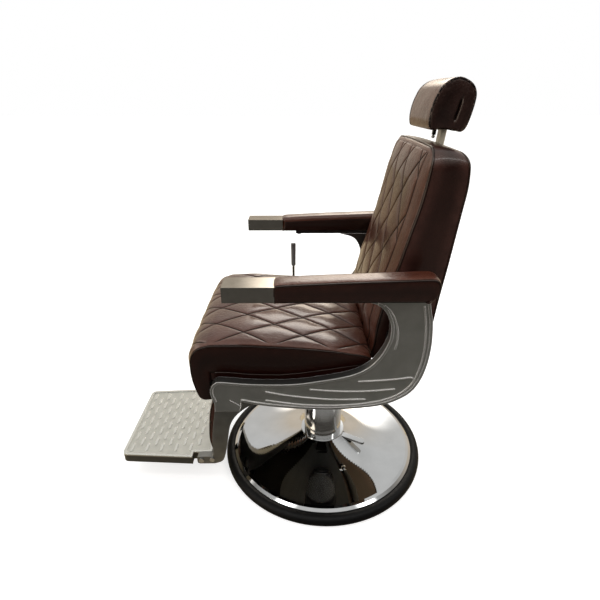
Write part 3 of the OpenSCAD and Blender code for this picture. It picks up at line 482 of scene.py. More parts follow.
soft = add(tree, "Bevel", {"Radius": 1.2 * MM}, samples=8).outputs["Normal"]
add(tree, "BsdfPrincipled", {"Base Color": colour, "Metallic": 0.85, "Roughness": polish, "Normal": soft})
finish(tree, output)
print("footplate floor lies at", round(sunk, 4))


# %% Painted iron, rubber and board
def coated(name, dark, light, rough, grain_mm, bump_mm, gloss=0.5):
    """Paint, rubber or another coat that isn't metal. Its fine bumps are grain_mm wide and bump_mm high."""
    made, tree, output, place = new_material(name)
    tone = patchy(tree, place, 25)
    colour = add(tree, "Mix", {"Factor": tone, "A": lin(dark), "B": lin(light)},
                 data_type="RGBA").outputs["Result"]
    rough = patchy(tree, place, 8, *rough)
    grain = add(tree, "TexNoise", {"Vector": place, "Scale": 1 / (grain_mm * MM), "Detail": 3.0})
    surface = add(tree, "Bump", {"Height": grain.outputs["Fac"], "Distance": bump_mm * MM}).outputs["Normal"]
    add(tree, "BsdfPrincipled", {"Base Color": colour, "Roughness": rough, "IOR": 1.5,
                                 "Specular IOR Level": gloss, "Normal": surface})
    finish(tree, output)
    return made


black_paint = coated("satin_black_paint_on_iron", "#101011", "#18191a", (0.38, 0.5), 1.6, 0.05)
cast_paint = coated("sand_cast_iron_painted_black", "#161718", "#202223", (0.5, 0.65), 2.5, 0.25)
rubber = coated("moulded_black_rubber", "#060607", "#0c0c0d", (0.45, 0.6), 1.8, 0.03, 0.25)
grip_rubber = coated("dipped_grey_grip_rubber", "#747577", "#838486", (0.4, 0.52), 1.2, 0.08)
# The boards under the seat and behind the calves are near black like dust paper, and dark enough to stand in
# as painted shade under the seat, which the dish mirrors
dust_paper_and_shade = coated("black_dust_paper_and_painted_shade", "#070606", "#0b0a09", (0.65, 0.8), 3.0, 0.1, 0.1)
print("paints, rubbers and paper are ready")

# %% Release tab and plywood
# The headrest's release tab is black plastic that ends in a small chromed ball
BALL_MM = 9             # height of the ball's top over the tab's lower end
tab, tree, output, place = new_material("moulded_black_tab_with_chromed_ball")
level = add(tree, "SeparateXYZ", {"Vector": place}).outputs["Z"]
ball_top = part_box("headrest_release")[0].z + BALL_MM * MM
plate = add(tree, "MapRange", {"Value": level, "From Min": ball_top,
                               "From Max": ball_top - 0.2 * MM}).outputs["Result"]
colour = add(tree, "Mix", {"Factor": plate, "A": lin("#0d0d0e"), "B": lin("#d6d7d8")},
             data_type="RGBA").outputs["Result"]
polish = add(tree, "MapRange", {"Value": plate, "To Min": 0.38, "To Max": 0.05}).outputs["Result"]
metal_part = add(tree, "Math", {0: plate, 1: 0.4}, operation="MULTIPLY").outputs["Value"]
add(tree, "BsdfPrincipled", {"Base Color": colour, "Metallic": metal_part, "Roughness": polish})
finish(tree, output)

birch, tree, output, place = new_material("rotary_cut_birch_plywood")
# Long grain: the noise is drawn out about eight times along the board
stretched = add(tree, "Mapping", {"Vector": place, "Scale": (1.0, 0.12, 1.0)}).outputs["Vector"]
figure = add(tree, "TexNoise", {"Vector": stretched, "Scale": 1 / (6 * MM), "Detail": 4.0}).outputs["Fac"]
tone = add(tree, "MapRange", {"Value": figure, "From Min": 0.3, "From Max": 0.7}).outputs["Result"]
colour = add(tree, "Mix", {"Factor": tone, "A": lin("#8f6a41"), "B": lin("#c49a66")},
             data_type="RGBA").outputs["Result"]
raised = add(tree, "Bump", {"Height": figure, "Distance": 0.1 * MM}).outputs["Normal"]
add(tree, "BsdfPrincipled", {"Base Color": colour, "Roughness": 0.6, "IOR": 1.5, "Normal": raised})
finish(tree, output)
print("materials:", len(bpy.data.materials))

# %% [markdown]
# ## Give each hard part its finish
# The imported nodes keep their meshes. A table from finish to nodes is shorter and easier to check than a line
# for each node, and the test at its end tells if a node was forgotten.

# %% Finishes of the hard parts
FINISHES = {
    chrome: ["base_dish", "base_collar", "pump_pedal", "piston_rod", "foot_screws", "strut_rod"],
    column_chrome: ["pump_column"],
    tip_chrome: ["arm_tip_left", "arm_tip_right"],
    chrome_with_painted_reflection: ["headrest_post", "headrest_guide"],
    ground_casting: ["side_frame_left", "side_frame_right"],
    leg_casting: ["leg_left", "leg_right"],
    tread_casting: ["tread_plate"],
    bright_steel: ["cylinder_liner", "cylinder_gland", "pedal_pin", "pump_plunger", "piston_head", "leg_pins",
                   "frame_bolts", "back_pivot_pins", "lever_pin", "recline_lever"],
    bronze: ["thrust_washer"],
    cast_paint: ["base_casting", "pump_block", "swivel_hub"],
    black_paint: ["subframe", "leg_hangers", "arm_bar_left", "arm_bar_right", "strut_body", "back_yoke",
                  "headrest_bracket", "leg_ties", "foot_ears"],
    rubber: ["base_ring", "wiper_seal", "piston_seal", "frame_stops", "foot_bumpers"],
    tab: ["headrest_release"],
    grip_rubber: ["lever_grip"],
    dust_paper_and_shade: ["seat_board", "calf_board"],
    birch: ["arm_core_left", "arm_core_right", "headrest_board"],
}
for material, names in FINISHES.items():
    for name in names:
        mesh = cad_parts[name].data
        mesh.materials.clear()
        mesh.materials.append(material)
PADDED = ["seat_cushion", "seat_base", "back_cushion", "back_panel", "headrest_pad", "arm_pad_left",
          "arm_pad_right", "calf_pad"]
finished = set(PADDED).union(*FINISHES.values())
print("nodes without a finish:", sorted(set(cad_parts) - finished))

# %% [markdown]
# ## How a pad is built
# Every pad of the chair is sewn the same way: a front panel, a boxing strip round it, and a rear panel,
# joined by seams. A cube with bevels can't carry sewn channels, and a cloth simulation on so regular a form
# only gives back the crown that is known beforehand. So each panel is a fine grid of points: the front is
# moved out along its own normals, most in the middle and falling steeply to the seams, then pulled in along
# the stitched lines.

# %% Curves and panels
FINE = 24       # steps between two given points of a curve


def smooth_path(points, count):
    """Smooth curve through points in depth and height, in mm, resampled to count even steps, in metres."""
    p = np.array(points, float) * MM
    p = np.vstack([2 * p[0] - p[1], p, 2 * p[-1] - p[-2]])
    dense = []
    for i in range(1, len(p) - 2):
        t = np.linspace(0, 1, FINE, endpoint=False)[:, None]
        a, b, c, d = p[i - 1], p[i], p[i + 1], p[i + 2]
        dense.append(0.5 * (2 * b + (c - a) * t + (2 * a - 5 * b + 4 * c - d) * t ** 2
                            + (3 * b - a - 3 * c + d) * t ** 3))
    dense = np.vstack(dense + [p[-2:-1]])
    return even_steps(dense, count)


def run_along(path):
    """Distance of each point of a line from its first point, along the line."""
    return np.concatenate([[0], np.cumsum(np.linalg.norm(np.diff(path, axis=0), axis=1))])


def even_steps(path, count):
    """The same line with count points at even distances."""
    run = run_along(path)
    at = np.linspace(0, run[-1], count)
    return np.stack([np.interp(at, run, path[:, k]) for k in range(path.shape[1])], axis=1)


def across_x(path, half, columns):
    """Grid of points: a path in depth and height, swept from x = -half to x = half."""
    x = np.linspace(-half, half, columns)
    grid = np.zeros((len(path), columns, 3))
    grid[:, :, 0] = x[None, :]
    grid[:, :, 1:] = path[:, None, :]
    return grid


def outward(grid, toward):
    """Unit normals of a grid of points, on the side that toward points to."""
    n = np.cross(np.gradient(grid, axis=1), np.gradient(grid, axis=0))
    n /= np.maximum(np.linalg.norm(n, axis=2, keepdims=True), 1e-12)
    return n if (n[len(n) // 2, n.shape[1] // 2] * np.array(toward)).sum() > 0 else -n


def spread(rows, columns):
    """u from -1 to 1 over the columns and v from 0 to 1 over the rows of a grid."""
    return np.linspace(-1, 1, columns)[None, :], np.linspace(0, 1, rows)[:, None]


def ring_of(rows, columns):
    """Grid places of the border, once round."""
    first = [(0, c) for c in range(columns - 1)]
    second = [(r, columns - 1) for r in range(rows - 1)]
    third = [(rows - 1, c) for c in range(columns - 1, 0, -1)]
    fourth = [(r, 0) for r in range(rows - 1, 0, -1)]
    return first + second + third + fourth


print("panel helpers are ready")


# %% Closed pad from two panels
FAR = 0.05      # metres from a seam where nothing of it shows


def object_from(name, verts, faces, material):
    """A smoothly shaded object from points and faces."""
    mesh = bpy.data.meshes.new(name)
    mesh.from_pydata([tuple(v) for v in verts], [], faces)
    mesh.validate()
    mesh.polygons.foreach_set("use_smooth", [True] * len(mesh.polygons))
    made = bpy.data.objects.new(name, mesh)
    scene.collection.objects.link(made)
    made.data.materials.append(material)
    return made


def mark(made, sewing, quilted):
    """Writes the sewing places and the quilted area into the mesh, where the leather's nodes read them."""
    places = made.data.attributes.new("sewing", "FLOAT_VECTOR", "POINT")
    places.data.foreach_set("vector", np.ascontiguousarray(sewing, dtype=np.float32).ravel())
    field = made.data.attributes.new("quilted", "FLOAT", "POINT")
    field.data.foreach_set("value", np.ascontiguousarray(quilted, dtype=np.float32).ravel())


def pad_faces(rows, columns, ring, strips):
    """Faces of a closed pad: the front and rear panels first, then the boxing between their borders."""
    half = rows * columns
    loops = [[r * columns + c for r, c in ring]]
    loops += [[2 * half + k * len(ring) + i for i in range(len(ring))] for k in range(strips - 1)]
    loops += [[half + r * columns + c for r, c in ring]]
    faces = []
    for r in range(rows - 1):
        for c in range(columns - 1):
            i = r * columns + c
            faces.append((i, i + 1, i + columns + 1, i + columns))
            faces.append((half + i, half + i + columns, half + i + columns + 1, half + i + 1))
    for near, far in zip(loops, loops[1:]):
        for i in range(len(ring)):
            j = (i + 1) % len(ring)
            faces.append((near[j], near[i], far[i], far[j]))
    return faces


def pad(name, front, rear, strips, bulge, material, boxing=None, slack=None, sewing=None, quilted=None,
        edge=None, crease=None):
    """Closed pad: a front grid, a rear grid of the same size, and a boxing of strips rows that swells by
    bulge and moves out by what slack gives. sewing holds the front's quilting coordinates, quilted its
    quilted area, edge its distance from a seam, and crease gives the boxing's distance from a crease."""
    rows, columns = front.shape[:2]
    ring = ring_of(rows, columns)
    a = np.array([front[r, c] for r, c in ring])
    b = np.array([rear[r, c] for r, c in ring])
    tangent = np.roll(a, -1, axis=0) - np.roll(a, 1, axis=0)
    out = np.cross(tangent, b - a)
    out = out / np.maximum(np.linalg.norm(out, axis=1, keepdims=True), 1e-9)
    middle = (front.mean(axis=(0, 1)) + rear.mean(axis=(0, 1))) / 2
    if ((a - middle) * out).sum() < 0:
        out = -out
    verts = [front.reshape(-1, 3), rear.reshape(-1, 3)]
    half = rows * columns
    marks = np.full((2 * half + (strips - 1) * len(ring), 3), (0.5, 0.0, FAR))
    field = np.zeros(len(marks))
    if sewing is not None:
        marks[:half, :2] = sewing.reshape(-1, 2)
        field[:half] = quilted.ravel()
    if edge is None:
        edge = border(rows, columns, np.ptp(front[:, :, 0]), 0.3)
    marks[:half, 2] = edge.ravel()
    marks[half:2 * half, 2] = border(rows, columns, 0.3, 0.3).ravel()
    depth = np.linalg.norm(b - a, axis=1)
    for k in range(1, strips):
        t = k / strips
        from_seam = min(t, 1 - t) * depth
        swell = bulge * np.sin(math.pi * t) ** 0.6
        row = a + (b - a) * t + out * swell
        if slack is not None:
            row = row + out * slack(row)[:, None]
        if crease is not None:
            from_seam = np.minimum(from_seam, crease(row))
        first = 2 * half + (k - 1) * len(ring)
        marks[first:first + len(ring), 2] = from_seam
        verts.append(row)
    faces = pad_faces(rows, columns, ring, strips)
    made = object_from(name, np.vstack(verts), faces, material)
    if boxing:
        made.data.materials.append(boxing)
        count = 2 * (rows - 1) * (columns - 1)
        index = [0] * count + [1] * (len(faces) - count)
        made.data.polygons.foreach_set("material_index", index)
    mark(made, marks, field)
    return made


def no_seam(made, where):
    """Takes the seam's mark off the points of a pad that where picks."""
    count = len(made.data.vertices)
    points = np.empty(3 * count)
    made.data.vertices.foreach_get("co", points)
    marks = np.empty(3 * count)
    made.data.attributes["sewing"].data.foreach_get("vector", marks)
    marks = marks.reshape(-1, 3)
    marks[where(points.reshape(-1, 3)), 2] = FAR
    made.data.attributes["sewing"].data.foreach_set("vector", marks.ravel())


def rope(name, path, radius, material, closed=True, sides=8):
    """Round piping of the radius along a line of points."""
    p = np.array(path)
    if closed:
        ahead = np.roll(p, -1, axis=0) - np.roll(p, 1, axis=0)
    else:
        ahead = np.gradient(p, axis=0)
    ahead /= np.maximum(np.linalg.norm(ahead, axis=1, keepdims=True), 1e-12)
    side = p - p.mean(axis=0)
    side -= ahead * (side * ahead).sum(axis=1, keepdims=True)
    side /= np.maximum(np.linalg.norm(side, axis=1, keepdims=True), 1e-12)
    other = np.cross(ahead, side)
    verts = []
    for k in range(sides):
        angle = 2 * math.pi * k / sides
        verts.append(p + radius * (side * math.cos(angle) + other * math.sin(angle)))
    verts = np.stack(verts, axis=1).reshape(-1, 3)
    faces = []
    count = len(p)
    for i in range(count if closed else count - 1):
        j = (i + 1) % count
        for k in range(sides):
            m = (k + 1) % sides
            faces.append((i * sides + k, i * sides + m, j * sides + m, j * sides + k))
    if not closed:
        faces.append(tuple(range(sides))[::-1])
        faces.append(tuple((count - 1) * sides + k for k in range(sides)))
    return object_from(name, verts, faces, material)


print("pad and rope are ready")


# %% Crown, quilting and creases
def dome(t, power, steep):
    """Height from 1 in the middle to 0 at t = -1 and 1; small steep values make the edges fuller."""
    return np.clip(1 - np.abs(t) ** power, 0, 1) ** steep


def step(value, start, end):
    """Smooth rise from 0 at start to 1 at end."""
    t = np.clip((value - start) / (end - start), 0, 1)
    return t * t * (3 - 2 * t)


# Diamonds of the seat and the backrest, and the stitched lines round them, in metres
DIAMOND_WIDE = 0.098
SEAT_DIAMOND = 0.159
BACK_DIAMOND = 0.161
PUFF = 0.0031               # height of the stuffed diamonds
GROOVE = 0.0017             # depth of the stitched lines between them
GROOVE_WIDE = 0.0028
WAVES = 14                  # random waves that are added up to creases


def quilting(a, b, pitch_a, pitch_b):
    """Height of a diamond quilting. a and b are distances, and the pitches are the diamond's width and depth.
    Both families of stitched lines are found in one pass, because they only differ in a sign."""
    p, q = a / pitch_a, b / pitch_b
    slope = math.hypot(1 / pitch_a, 1 / pitch_b)
    valley = np.zeros_like(p)
    swell = np.ones_like(p)
    for family in (p + q, p - q):
        off = np.abs(family - np.round(family))
        valley = np.maximum(valley, np.exp(-(off / slope / GROOVE_WIDE) ** 2))
        swell = swell * np.sin(math.pi * np.clip(off, 0, 0.5)) ** 0.32
    return PUFF * swell - GROOVE * valley


def creases(points, seed, size, depth):
    """Soft random waves of about size metres, as in leather pulled over foam."""
    rng = np.random.default_rng(seed)
    height = np.zeros(points.shape[:-1])
    for _ in range(WAVES):
        way = rng.normal(size=3)
        way /= np.linalg.norm(way)
        length = size * rng.uniform(0.7, 2.2)
        height += np.sin(points @ way * 2 * math.pi / length + rng.uniform(0, 6.28)) * rng.uniform(0.3, 1)
    return depth * height / 5


def border(rows, columns, width, length):
    """Distance of each grid place from the panel's edge, for a panel of that width and length."""
    u, v = spread(rows, columns)
    return np.minimum((1 - np.abs(u)) * width / 2, np.minimum(v, 1 - v) * length)


print("shape functions are ready")

# %% [markdown]
# ## Seat cushion
# The seat's cover is one quilted panel that runs from under the front edge over the top to the back, with a
# plain boxing at each side. The diamonds are 98 mm across and 159 mm deep. The foam crowns the middle, and
# the panel rolls over at its seams.

# %% Seat cushion
SEAT_HALF = 0.249
SEAT_SEAM = [(-322, 402), (-340, 400), (-352, 408), (-361, 434), (-367, 464), (-369, 500), (-365, 532),
             (-350, 554), (-326, 564), (-306, 567), (-234, 567), (-157, 563), (-80, 558), (0, 550), (50, 542),
             (88, 536), (106, 526), (108, 514)]
SEAT_ROWS, SEAT_COLUMNS = 236, 170
CROSSING_Y = -0.073         # a row of the quilting's crossings lies here
ON_TOP = 60                 # from this row on, the seam has left the seat's front
seam = smooth_path(SEAT_SEAM, SEAT_ROWS)
top_panel = across_x(seam, SEAT_HALF, SEAT_COLUMNS)
normals = outward(top_panel, (0, 0, 1))
u, v = spread(SEAT_ROWS, SEAT_COLUMNS)
run = run_along(seam)
edge = border(SEAT_ROWS, SEAT_COLUMNS, 2 * SEAT_HALF, run[-1])
# The crown is 8 mm on the front, 16 mm on top and lower again at the back
crown = np.interp(v, [0, 0.12, 0.3, 0.5, 0.8, 0.95, 1], [0.004, 0.008, 0.012, 0.016, 0.012, 0.004, 0.001])
height = crown * dome(u, 7, 0.5) * (0.86 + 0.14 * dome(u, 2, 1))
zero = np.interp(CROSSING_Y, seam[ON_TOP:, 0], run[ON_TOP:])
along = np.repeat((run - zero)[:, None], SEAT_COLUMNS, axis=1)
lattice = np.stack([top_panel[:, :, 0] / DIAMOND_WIDE, along / SEAT_DIAMOND], axis=2)
sewn = quilting(top_panel[:, :, 0], along, DIAMOND_WIDE, SEAT_DIAMOND)
inside = step(edge, 0.008, 0.02)
height = height + sewn * inside + creases(top_panel, 4, 0.06, 0.0009) * inside
top_panel = top_panel + normals * height[:, :, None]
print("seat panel:", SEAT_ROWS, "by", SEAT_COLUMNS, "points, along", round(run[-1], 3), "m")

# %% Underside of the seat cushion
WELT = np.array([(-318, 486), (-266, 485), (-213, 479), (-133, 477), (-80, 482), (-1, 494), (52, 503),
                 (108, 512)]) * MM
FRONT_Y, FRONT_Z = -0.318, 0.486        # here the welt starts behind the seat's front


def welt_z(y):
    """Height of the seam under the cushion, which follows the side frames."""
    return np.interp(y, WELT[:, 0], WELT[:, 1])


under_y = np.maximum(seam[:, 0], FRONT_Y)
low_part = seam[:, 1] < FRONT_Z
under_z = np.where(low_part, seam[:, 1], welt_z(under_y))
under_y = np.where(low_part, np.where(seam[:, 0] < 0, FRONT_Y, seam[:, 0]), under_y)
under = across_x(np.stack([under_y, under_z], axis=1), SEAT_HALF - 0.001, SEAT_COLUMNS)
seat = pad("seat_cover", top_panel, under, 12, 0.0035, seat_leather, side_leather, sewing=lattice,
           quilted=inside, edge=edge)
seat_ring = [top_panel[r, c] for r, c in ring_of(SEAT_ROWS, SEAT_COLUMNS)]
seat_piping = rope("seat_piping", seat_ring, 0.0015, piping_leather)
print("seat cover:", len(seat.data.vertices), "points")

# %% [markdown]
# Below the cushion the seat has a narrow upholstered border, which stands between the side frames. Its welt is
# a thin light line over a dark band, and the band's dark brown is painted shade.

# %% Seat border
BORDER_ROWS, BORDER_COLUMNS = 60, 40
BORDER_HALF = 0.2455
WELT_X = 0.2475
BORDER_BOTTOM = 0.4565
y = np.linspace(-0.320, 0.096, BORDER_ROWS)
upper = across_x(np.stack([y, welt_z(y) + 0.004], axis=1), BORDER_HALF, BORDER_COLUMNS)
lower = across_x(np.stack([y, np.full_like(y, BORDER_BOTTOM)], axis=1), BORDER_HALF, BORDER_COLUMNS)
seat_border = pad("seat_border", upper, lower, 6, 0.002, side_leather)
welts = []
for side_sign, label in ((1, "left"), (-1, "right")):
    path = [(side_sign * WELT_X, a, welt_z(a)) for a in np.linspace(-0.306, 0.092, 70)]
    welts.append(rope("seat_welt_" + label, path, 0.0024, piping_leather, closed=False))
print("seat border and", len(welts), "welts")

# %% [markdown]
# ## Backrest
# The backrest is a thick cushion with a quilted front, a boxing round the sides and top, and a plain rear
# panel. Its top corners are rounded seen from the front. Each square corner of the grid is bent to a quarter
# circle, which keeps the rows even, where cutting the corner off would not.

# %% Backrest outline
BACK_HALF = 0.2045
BACK_FRONT = [(113, 503), (116, 522), (121, 545), (125, 590), (131, 627), (144, 690), (163, 750),
              (176, 801), (191, 859), (204, 912), (213, 959), (219, 999), (224, 1030), (228, 1051)]
BACK_REAR = [(256, 506), (262, 550), (268, 600), (276, 680), (287, 770), (296, 854), (302, 910), (307, 960),
             (306, 1000), (302, 1022), (292, 1038)]
BACK_ROWS, BACK_COLUMNS = 210, 150


def round_corners(grid, x_half, corner, arch):
    """Bends a panel's upper corners to quarter circles and lets its top edge fall by arch to the sides."""
    path = grid[:, 0, 1:]
    run = run_along(path)
    b = np.clip(1 - (run[-1] - run) / corner, 0, 1)[:, None] * np.ones((1, grid.shape[1]))
    a = np.clip((np.abs(grid[:, :, 0]) - (x_half - corner)) / corner, 0, 1)
    new_a, new_b = a * np.sqrt(1 - b * b / 2), b * np.sqrt(1 - a * a / 2)
    x = np.where(a > 0, np.sign(grid[:, :, 0]) * (x_half - corner + new_a * corner), grid[:, :, 0])
    at = np.where(b > 0, run[-1] - corner + new_b * corner, run[:, None])
    at = at - arch * np.abs(x / x_half) ** 2.5 * (run / run[-1])[:, None] ** 8
    out = grid.copy()
    out[:, :, 0] = x
    for k in (0, 1):
        out[:, :, 1 + k] = np.interp(at, run, path[:, k])
    return out


front_path = smooth_path(BACK_FRONT, BACK_ROWS)
square_front = across_x(front_path, BACK_HALF, BACK_COLUMNS)
square_rear = across_x(smooth_path(BACK_REAR, BACK_ROWS), BACK_HALF, BACK_COLUMNS)
front = round_corners(square_front, BACK_HALF, 0.050, 0.007)
rear = round_corners(square_rear, BACK_HALF, 0.036, 0.004)
print("backrest panels:", BACK_ROWS, "by", BACK_COLUMNS, "points")

# %% Backrest cushion
BACK_CROSSING_Z = 0.932     # a row of the quilting's crossings lies here
u, v = spread(BACK_ROWS, BACK_COLUMNS)
length = run_along(front_path)[-1]
edge = border(BACK_ROWS, BACK_COLUMNS, 2 * BACK_HALF, length)
crown = np.interp(v, [0, 0.05, 0.08, 0.18, 0.5, 0.85, 1], [0.001, 0.006, 0.011, 0.026, 0.028, 0.029, 0.020])
rise = dome(u, 3.2, 0.62) * dome(np.clip((v - 0.45) / 0.55, 0, 1), 9, 0.5)
# The diamonds end at a line beside the side seams, and nearer to the top and bottom ones
field = np.minimum((1 - np.abs(u)) * BACK_HALF - 0.036, np.minimum(v, 1 - v) * length - 0.012)
above_crossing = front[:, :, 2] - BACK_CROSSING_Z
lattice = np.stack([front[:, :, 0] / DIAMOND_WIDE, above_crossing / BACK_DIAMOND], axis=2)
sewn = quilting(front[:, :, 0], above_crossing, DIAMOND_WIDE, BACK_DIAMOND)
inside = step(field, -0.001, 0.004)
height = crown * rise + sewn * inside + creases(front, 9, 0.07, 0.0008)
# The line where the diamonds end is marked like a seam, so it gets the seam's painted shade too
edge = np.minimum(edge, np.abs(field) + 0.0012)
front = front + outward(square_front, (0, -1, 0)) * height[:, :, None]
rear_rise = 0.0025 * dome(u, 4, 0.6) * dome(2 * v - 1, 8, 0.6)
rear = rear + outward(square_rear, (0, 1, 0)) * rear_rise[:, :, None]
backrest = pad("back_cover", front, rear, 18, 0.0055, leather, back_side_leather, sewing=lattice,
               quilted=inside, edge=edge)
ring = ring_of(BACK_ROWS, BACK_COLUMNS)
front_piping = rope("back_front_piping", [front[r, c] for r, c in ring], 0.0026, piping_leather)
rear_piping = rope("back_rear_piping", [rear[r, c] for r, c in ring], 0.0024, piping_leather)
print("back cover:", len(backrest.data.vertices), "points")

# %% [markdown]
# ## Headrest
# The headrest is a short round pad: one strip of leather wraps over its front, top and rear, between two
# piped side panels shaped like a D. The hide is gathered in each side panel, which gives a steep crease.

# %% Headrest pad
HEAD_HALF = 0.098
HEAD_WRAP = [(250, 1083), (236, 1084), (232, 1096), (232, 1112), (235, 1132), (242, 1153), (253, 1174),
             (270, 1188), (290, 1194), (309, 1189), (325, 1178), (333, 1162), (333, 1142), (327, 1110),
             (320, 1088), (311, 1079), (300, 1080)]
HEAD_ROWS, HEAD_COLUMNS = 150, 74
strip = across_x(smooth_path(HEAD_WRAP, HEAD_ROWS), HEAD_HALF, HEAD_COLUMNS)
u, v = spread(HEAD_ROWS, HEAD_COLUMNS)
rise = 0.003 * dome(u, 5, 0.5) + creases(strip, 2, 0.05, 0.0008) * dome(u, 6, 1)
strip = strip + outward(strip, (0, 0, 1)) * rise[:, :, None]
flat = np.hstack([0.250 + v * 0.050, 1.083 - v * 0.003])
bottom = across_x(flat, HEAD_HALF - 0.001, HEAD_COLUMNS)

# The crease in the side panels: its middle, how it leans, half its length and how deep it is
CREASE_Y, CREASE_Z = 0.296, 1.125
CREASE_LEAN = 0.22
CREASE_HALF = 0.022
CREASE_DEEP = 0.0085


def from_crease(points):
    """How far points lie behind the crease's line, and how far above its middle."""
    above = points[:, 2] - CREASE_Z
    return points[:, 1] - (CREASE_Y + CREASE_LEAN * above), above


def gather(points):
    """How far the crease moves points of the side panels."""
    behind, above = from_crease(points)
    return -CREASE_DEEP * np.exp(-(behind / 0.0035) ** 2) * np.exp(-(above / 0.026) ** 4)


def crease_distance(points):
    """Distance from the bottom line of that crease, which is marked like a seam and so gets the seam's painted
    shade.
    """
    behind, above = from_crease(points)
    return np.hypot(behind, np.maximum(np.abs(above) - CREASE_HALF, 0)) + 0.0005


head = pad("headrest_cover", strip, bottom, 20, 0.006, leather, head_side_leather, slack=gather,
           crease=crease_distance)
head_pipes = []
for column, label in ((0, "right"), (HEAD_COLUMNS - 1, "left")):
    head_pipes.append(rope("headrest_piping_" + label, strip[:, column], 0.0025, gathered_leather,
                           closed=False))
print("headrest cover:", len(head.data.vertices), "points")

# %% [markdown]
# ## Arm pads
# Each arm pad is a long box with a crowned top. The seam between its top and its side starts low behind the
# chromed end cap and rises a little, and its rear end is rounded.

# %% Arm pads
pad_low, pad_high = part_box("arm_pad_left")
ARM_ROWS, ARM_COLUMNS = 150, 34
ARM_SEAM = [(-138, 730), (-138, 750), (-137, 763), (-130, 767), (-100, 769), (-40, 772), (60, 776),
            (150, 779), (205, 781), (224, 780), (233, 774), (236, 762), (234, 747), (228, 734), (221, 728)]
ARM_BOTTOM = 0.7255
middle = (pad_low.x + pad_high.x) / 2
half = (pad_high.x - pad_low.x) / 2 - 0.001
u, v = spread(ARM_ROWS, ARM_COLUMNS)
arm_pieces = []
for sign, label in ((1, "left"), (-1, "right")):
    over = across_x(smooth_path(ARM_SEAM, ARM_ROWS), half, ARM_COLUMNS)
    # The cover wraps over the inner edge in one piece, so that edge is a wide round
    roll = np.clip((-u - 0.5) / 0.5, 0, 1)
    rounding = 0.011 * (1 - np.sqrt(1 - 0.99 * roll ** 2)) * dome(2 * v - 1, 10, 0.6)
    rise = (0.0045 * dome(u, 3, 0.55) * dome(2 * v - 1, 8, 0.6) - rounding
            + creases(over, 5, 0.05, 0.0006) * dome(u, 4, 1))
    over = over + outward(over, (0, 0, 1)) * rise[:, :, None]
    base_y = np.interp(over[:, 0, 1], [-0.140, 0.236], [-0.138, 0.221])
    base_path = np.stack([base_y, np.full_like(base_y, ARM_BOTTOM)], axis=1)
    base = across_x(base_path, half - 0.0015, ARM_COLUMNS)
    for grid in (over, base):
        grid[:, :, 0] = sign * (grid[:, :, 0] + middle)
    made = pad("arm_cover_" + label, over, base, 10, 0.0035, leather, arm_side_leather)
    arm_pieces.append((made, "arm_pad_" + label))
    no_seam(made, lambda points: np.abs(points[:, 0]) < middle - 0.4 * half)
    # The piping lies a little under the outer edge and ends before the arm's underside
    outer_edge = over[4:-4, -1] - np.array([0, 0, 0.0006])
    made = rope("arm_piping_" + label, outer_edge, 0.0022, piping_leather, closed=False)
    arm_pieces.append((made, None))
print("arm pieces:", len(arm_pieces))

# %% [markdown]
# ## Calf pad
# A thin pad between the legs supports the calves when the chair reclines. It is a plain stuffed panel with
# one crossing seam.

# %% Calf pad
CALF_FRONT = [(-335, 345), (-342, 318), (-354, 272), (-361, 218), (-363, 168), (-358, 127)]
CALF_ROWS, CALF_COLUMNS = 90, 90
CALF_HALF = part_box("calf_pad")[1].x - 0.0015
CALF_DEEP = 0.019
SEAM_DEEP, SEAM_WIDE = 0.003, 0.003
calf_path = smooth_path(CALF_FRONT, CALF_ROWS)
calf_face = across_x(calf_path, CALF_HALF, CALF_COLUMNS)
u, v = spread(CALF_ROWS, CALF_COLUMNS)
stuffing = 0.006 * dome(u, 6, 0.5) * dome(2 * v - 1, 6, 0.5) + creases(calf_face, 3, 0.06, 0.0008)
seam_line = np.exp(-((v - 0.5) * 0.22 / SEAM_WIDE) ** 2)
calf_face = calf_face + outward(calf_face, (0, -1, 0)) * (stuffing - SEAM_DEEP * seam_line)[:, :, None]
calf_rear = across_x(calf_path + np.array([CALF_DEEP, 0]), CALF_HALF, CALF_COLUMNS)
calf = pad("calf_cover", calf_face, calf_rear, 6, 0.0015, leather)
print("calf cover:", len(calf.data.vertices), "points")

# %% [markdown]
# ## Lever grip
# The recline lever ends in a dipped rubber grip, a little thicker at its top, with soft rims. A turned part
# is one line of points swept round an axis, so its rims can be as round as the line says.

# %% Lever grip
grip_low, grip_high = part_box("lever_grip")
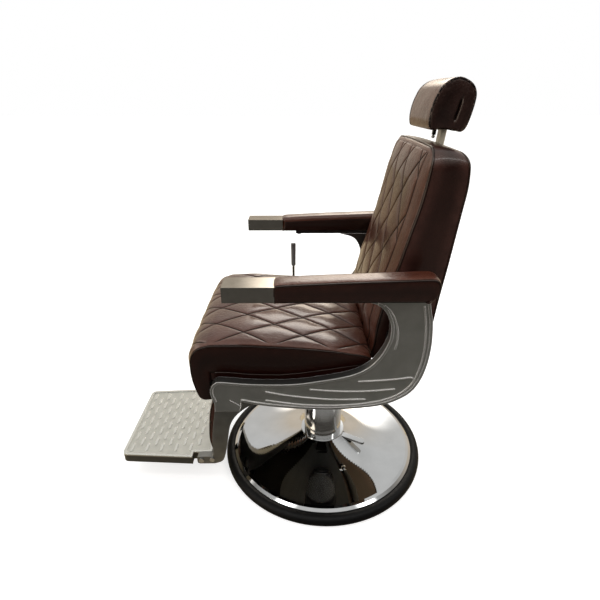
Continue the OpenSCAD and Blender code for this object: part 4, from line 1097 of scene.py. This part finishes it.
# Radius and height, in mm, from the middle of the bottom to the middle of the top
GRIP_LINE = [(0.0, 0.0), (6.8, 0.0), (7.8, 0.8), (8.1, 3), (8.4, 30), (8.7, 60), (9.0, 80), (8.8, 83.5),
             (7.6, 85.6), (5.5, 86), (0.0, 86)]
AROUND = 32
grip_x = (grip_low.x + grip_high.x) / 2
grip_y = (grip_low.y + grip_high.y) / 2
turned = [(grip_x, grip_y, grip_low.z)]
for radius, up_mm in GRIP_LINE[1:-1]:
    for k in range(AROUND):
        angle = 2 * math.pi * k / AROUND
        turned.append((grip_x + radius * MM * math.cos(angle), grip_y + radius * MM * math.sin(angle),
                       grip_low.z + up_mm * MM))
turned.append((grip_x, grip_y, grip_low.z + GRIP_LINE[-1][1] * MM))
turned_faces = []
for k in range(AROUND):
    j = (k + 1) % AROUND
    turned_faces.append((0, 1 + j, 1 + k))
    for level in range(len(GRIP_LINE) - 3):
        a, b = 1 + level * AROUND, 1 + (level + 1) * AROUND
        turned_faces.append((a + k, a + j, b + j, b + k))
    top = 1 + (len(GRIP_LINE) - 3) * AROUND
    turned_faces.append((top + k, top + j, len(turned) - 1))
grip = object_from("lever_grip_sleeve", turned, turned_faces, grip_rubber)
print("grip:", len(turned), "points")

# %% [markdown]
# ## Put every piece on its body
# A piece moves with the body that carries it, and the imported solids that the pads stand for are hidden.
# Piping stands for none: it only adds to the pad that it borders.

# %% Ride and replace
RIDES = {
    "chair": (seat, seat_border, seat_piping, *welts, *(piece for piece, node in arm_pieces)),
    "back": (backrest, front_piping, rear_piping),
    "headrest": (head, *head_pipes),
    "legrest": (calf,),
}
for body, pieces in RIDES.items():
    for piece in pieces:
        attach(piece, body)
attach(grip, "lever")
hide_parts("lever_grip")
# Each pad, how full it is stuffed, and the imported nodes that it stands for
STUFFED = (
    *((piece, 0.8, (node,)) for piece, node in arm_pieces if node),
    (seat, 0.75, ("seat_cushion",)),
    (seat_border, 0.8, ("seat_base",)),
    (backrest, 0.75, ("back_cushion", "back_panel")),
    (head, 0.85, ("headrest_pad",)),
    (calf, 0.7, ("calf_pad",)),
)
for piece, fill, nodes in STUFFED:
    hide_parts(*nodes)
print("pads on their bodies")

# %% Sizes and finish
shown_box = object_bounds()
print("size of the packed model and of the dressed one:")
for low, high in (cad_box, shown_box):
    print([round(high[k] - low[k], 4) for k in range(3)])
